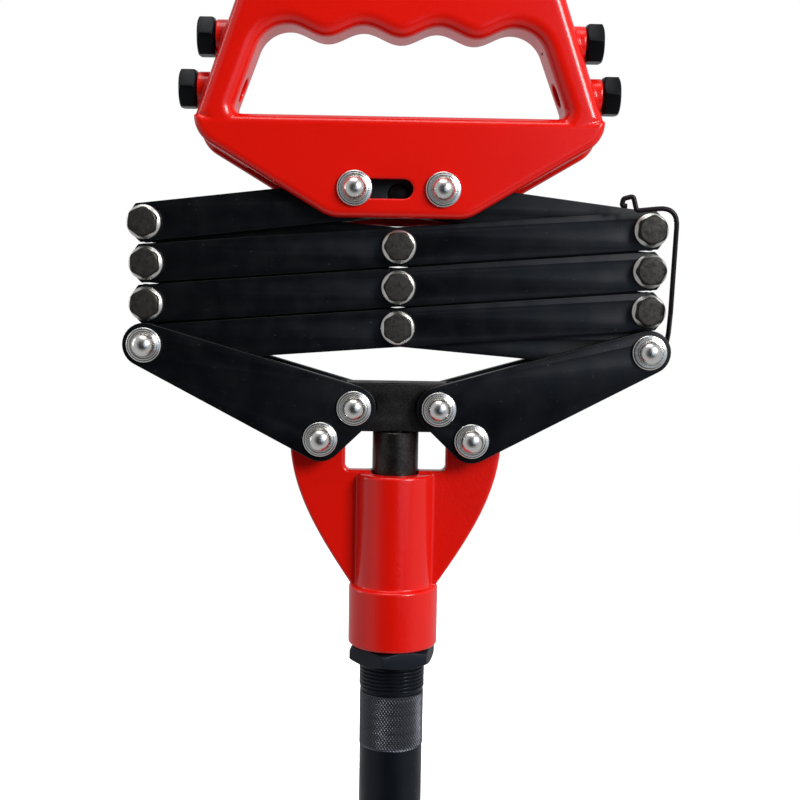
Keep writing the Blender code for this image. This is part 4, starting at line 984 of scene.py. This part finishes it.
def build_latch():
    pin = PIVOT["latch_swing"]
    wire = sizes().latch_wire
    depth, out, pin_radius, clear = mm(-5.05, -14.6, 3.7, 0.7)
    ring_start, ring_end, bend_steps, longest_cut = math.radians(60), math.radians(330), 8, 0.48
    over = middle_of("tong_bolt_right_1").z - pin.z + CAD_BOLT_HALF + clear
    ring = [(x, depth, z) for x, z in arc(0, 0, pin_radius + wire, ring_start, ring_end, 28)]
    # Each bend of the wire: sideways, depth and height from the pin, and how wide it turns
    bends = [(7.4 * MM, depth, 0.8 * MM, 2.4 * MM), (8.5 * MM, depth, 7.6 * MM, 2.4 * MM),
             (6.9 * MM, out, 15.5 * MM, 2.4 * MM), (8.3 * MM, out, over + 1.5 * MM, 8.5 * MM)]
    bends += [(x * MM, out, over + z * MM, radius * MM) for x, z, radius in
              ((-7.3, -0.2, 1.4), (-8.7, 5.2, 1.2), (-12.4, 4.2, 1.2), (-13.0, 1.6, 0.9), (-11.0, 1.5, 0.0))]
    corners = [Vector(ring[-1])] + [Vector(bend[:3]) for bend in bends]
    points = []
    for before, here, after, (*_, width) in zip(corners, corners[1:], corners[2:], bends):
        back, on = before - here, after - here
        cut = min(width / math.tan(back.angle(on) / 2), longest_cut * back.length, longest_cut * on.length)
        start, end = here + back.normalized() * cut, here + on.normalized() * cut
        for step in range(bend_steps + 1):
            share = step / bend_steps
            points.append(start.lerp(here, share).lerp(here.lerp(end, share), share))
    route = [Vector(point) + pin for point in ring + points + corners[-1:]]
    latch = round_wire("spring_wire_latch", route, wire, 5)
    finish_piece(latch, "wire_latch", "wire", 60.0)


# Jaws, pusher and case inside the barrel keep their CAD shapes; the spring is wound anew

def dress_inner_works():
    for node in ("jaw_case", "jaw_left", "jaw_right", "jaw_pusher"):
        coat(frame["nodes"][node], "rod")
    low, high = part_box("jaw_spring")
    wire, turns, steps = 0.7 * MM, 4, 24
    coil = high.x - wire
    rise = high.z - low.z - 2 * wire
    count = turns * steps
    route = [(coil * math.cos(math.tau * i / steps), coil * math.sin(math.tau * i / steps),
              low.z + wire + rise * i / count) for i in range(count + 1)]
    spring = round_wire("coil_spring", route, wire, 3)
    finish_piece(spring, "jaw_spring", "spring", 60.0)
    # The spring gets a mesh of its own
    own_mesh(spring)


# Stage: pale floor, soft boxes and the camera at the photograph's view

STAGE_AIM = (0, 0, 0.23)
FLOOR_MIDDLE = (0, 0.5, 0)
# Each soft box: its name, place, what it looks at, size, watts and colour
SOFT_BOXES = (
    ("key", (0.80, -0.85, 0.75), STAGE_AIM, (0.40, 0.50), 14, "#FFFFFF"),
    ("top", (-0.10, -0.20, 1.30), STAGE_AIM, (0.8, 0.5), 4, "#FFFFFF"),
    ("left_rim", (-1.1, 0.15, 0.5), STAGE_AIM, (0.2, 0.8), 1.5, "#FFFFFF"),
    ("sky_panel", (0.62, -1.20, 0.36), STAGE_AIM, (0.8, 1.0), 2.2, "#C4DAF7"),
    ("floor_lamp", (0.0, 0.5, 2.2), FLOOR_MIDDLE, (1.5, 1.5), 40, "#FFFFFF"),
)
CAMERA_AT = (-0.0063, -0.5074, 0.2524)
CAMERA_YAW, CAMERA_PITCH, CAMERA_ROLL = (math.radians(turn) for turn in (-0.88, -5.4, 0.95))
CAMERA_LENS = 58.5


def soft_box(name, at, aim, size, watts, tint):
    lamp = having(bpy.data.lights.new(name, "AREA"), shape="RECTANGLE", size=size[0], size_y=size[1],
                  energy=watts, color=hex_to_linear(tint)[:3])
    turn = (Vector(aim) - Vector(at)).to_track_quat("-Z", "Y").to_euler()
    return having(placed(name, lamp), location=at, rotation_euler=turn)


def floor_paint():
    """Matt white paint that thins out towards the floor's edge, so the floor ends without a line."""
    paint, tree, place = new_material("matt_white_floor_paint")
    grain_mm, fade_from, fade_to = 3.0, 0.30, 0.95
    away = add(tree, "ShaderNodeVectorMath", {"operation": "LENGTH"}, {0: place}).outputs["Value"]
    thin = spread(tree, away, (fade_from, fade_to), (1.0, 0.0), "SMOOTHSTEP")
    return surface(paint, clouds(tree, place, grain_mm), 0.05, 0.2,
                   {"Base Color": hex_to_linear("#FAFAFA"), "Roughness": 0.8, "Alpha": thin})


def light_tent():
    """A world like a light tent: white cloth at the sides and above, open and dark towards the front."""
    world = bpy.data.worlds.new("studio")
    bpy.context.scene.world = world
    world.use_nodes = True
    air = world.node_tree
    air.nodes.clear()
    seen = add(air, "ShaderNodeLightPath").outputs["Is Camera Ray"]
    way = add(air, "ShaderNodeTexCoord").outputs["Generated"]
    forward = add(air, "ShaderNodeVectorMath", {"operation": "DOT_PRODUCT", 1: (0.0, -1.0, 0.0)}, {0: way})
    cloth = spread(air, forward.outputs["Value"], (0.45, 0.92), (0.55, 0.02), "SMOOTHSTEP")
    room = add(air, "ShaderNodeBackground", {"Color": hex_to_linear("#F4F6FA")}, {"Strength": cloth})
    backdrop = add(air, "ShaderNodeBackground", {"Color": hex_to_linear("#FFFFFF"), "Strength": 1.0})
    mixed = add(air, "ShaderNodeMixShader", {}, {0: seen, 1: room.outputs[0], 2: backdrop.outputs[0]})
    add(air, "ShaderNodeOutputWorld", {}, {"Surface": mixed.outputs[0]})


def build_stage():
    shape = bmesh.new()
    bmesh.ops.create_circle(shape, cap_ends=True, segments=96, radius=1.0)
    # The studio's floor is bright in the picture and throws no light back up onto the tool
    floor = having(from_bmesh("floor", shape), location=(0, 0, -MM), visible_diffuse=False, visible_glossy=False)
    floor.data.materials.append(floor_paint())
    light_tent()
    lamps = {row[0]: soft_box(*row) for row in SOFT_BOXES}
    lit = bpy.data.collections.new("lit_by_floor_lamp")
    lit.objects.link(floor)
    lamps["floor_lamp"].light_linking.receiver_collection = lit
    made = placed("camera", having(bpy.data.cameras.new("camera"), lens=CAMERA_LENS, clip_start=0.01))
    looks = (Matrix.Rotation(CAMERA_YAW, 4, "Z") @ Matrix.Rotation(math.pi / 2 + CAMERA_PITCH, 4, "X")
             @ Matrix.Rotation(CAMERA_ROLL, 4, "Z"))
    made.matrix_world = Matrix.Translation(CAMERA_AT) @ looks
    bpy.context.scene.camera = made
    having(bpy.context.scene.view_settings, view_transform="Standard", look="None")


# Operators and panel

class RIVETER_OT_castings(bpy.types.Operator):
    """Build the handle and housing castings"""
    bl_idname = "riveter.castings"
    bl_label = "Castings"

    def execute(self, context):
        build_handle()
        build_housing()
        return {"FINISHED"}


class RIVETER_OT_plates(bpy.types.Operator):
    """Build the tong links and the bell-crank levers"""
    bl_idname = "riveter.plates"
    bl_label = "Links and levers"

    def execute(self, context):
        build_links()
        build_levers()
        return {"FINISHED"}


class RIVETER_OT_fasteners(bpy.types.Operator):
    """Build the hexagon bolts, their nuts and the domed pins"""
    bl_idname = "riveter.fasteners"
    bl_label = "Bolts and pins"

    def execute(self, context):
        build_bolts()
        build_pins()
        return {"FINISHED"}


class RIVETER_OT_crosshead(bpy.types.Operator):
    """Build the crosshead and the pull rod"""
    bl_idname = "riveter.crosshead"
    bl_label = "Crosshead and rod"

    def execute(self, context):
        build_crosshead()
        return {"FINISHED"}


class RIVETER_OT_barrel(bpy.types.Operator):
    """Build the barrel tube and its lock nut"""
    bl_idname = "riveter.barrel"
    bl_label = "Barrel"

    def execute(self, context):
        build_barrel()
        build_lock_nut()
        return {"FINISHED"}


class RIVETER_OT_nosepieces(bpy.types.Operator):
    """Build the fitted and the spare nosepieces"""
    bl_idname = "riveter.nosepieces"
    bl_label = "Nosepieces"

    def execute(self, context):
        build_nosepieces()
        return {"FINISHED"}


class RIVETER_OT_latch(bpy.types.Operator):
    """Build the wire latch"""
    bl_idname = "riveter.latch"
    bl_label = "Wire latch"

    def execute(self, context):
        build_latch()
        return {"FINISHED"}


class RIVETER_OT_inner_works(bpy.types.Operator):
    """Finish the jaws, their case, pusher and spring"""
    bl_idname = "riveter.inner_works"
    bl_label = "Jaws and spring"

    def execute(self, context):
        dress_inner_works()
        return {"FINISHED"}


class RIVETER_OT_stage(bpy.types.Operator):
    """Build the floor, lights and camera"""
    bl_idname = "riveter.stage"
    bl_label = "Stage"

    def execute(self, context):
        build_stage()
        return {"FINISHED"}


OPERATORS = (RIVETER_OT_castings, RIVETER_OT_plates, RIVETER_OT_fasteners, RIVETER_OT_crosshead,
             RIVETER_OT_barrel, RIVETER_OT_nosepieces, RIVETER_OT_latch, RIVETER_OT_inner_works,
             RIVETER_OT_stage)


class RIVETER_PT_panel(bpy.types.Panel):
    """Sizes, colours and the builder of each group of pieces"""
    bl_idname = "RIVETER_PT_panel"
    bl_label = "Riveter"
    bl_space_type = "VIEW_3D"
    bl_region_type = "UI"
    bl_category = "Riveter"

    def draw(self, context):
        for group in (context.scene.riveter_sizes, context.scene.riveter_colours):
            box = self.layout.box()
            for name in group.__annotations__:
                box.prop(group, name)
        for operator in OPERATORS:
            self.layout.operator(operator.bl_idname)


CLASSES = (RiveterSizes, RiveterColours, *OPERATORS, RIVETER_PT_panel)


def register():
    for entry in CLASSES:
        bpy.utils.register_class(entry)
    bpy.types.Scene.riveter_sizes = bpy.props.PointerProperty(type=RiveterSizes)
    bpy.types.Scene.riveter_colours = bpy.props.PointerProperty(type=RiveterColours)


def unregister():
    del bpy.types.Scene.riveter_colours
    del bpy.types.Scene.riveter_sizes
    for entry in reversed(CLASSES):
        bpy.utils.unregister_class(entry)


def main():
    register()
    for name in ("castings", "plates", "fasteners", "crosshead", "barrel", "nosepieces", "latch", "inner_works",
                 "stage"):
        getattr(bpy.ops.riveter, name)()


if __name__ == "__main__":
    main()
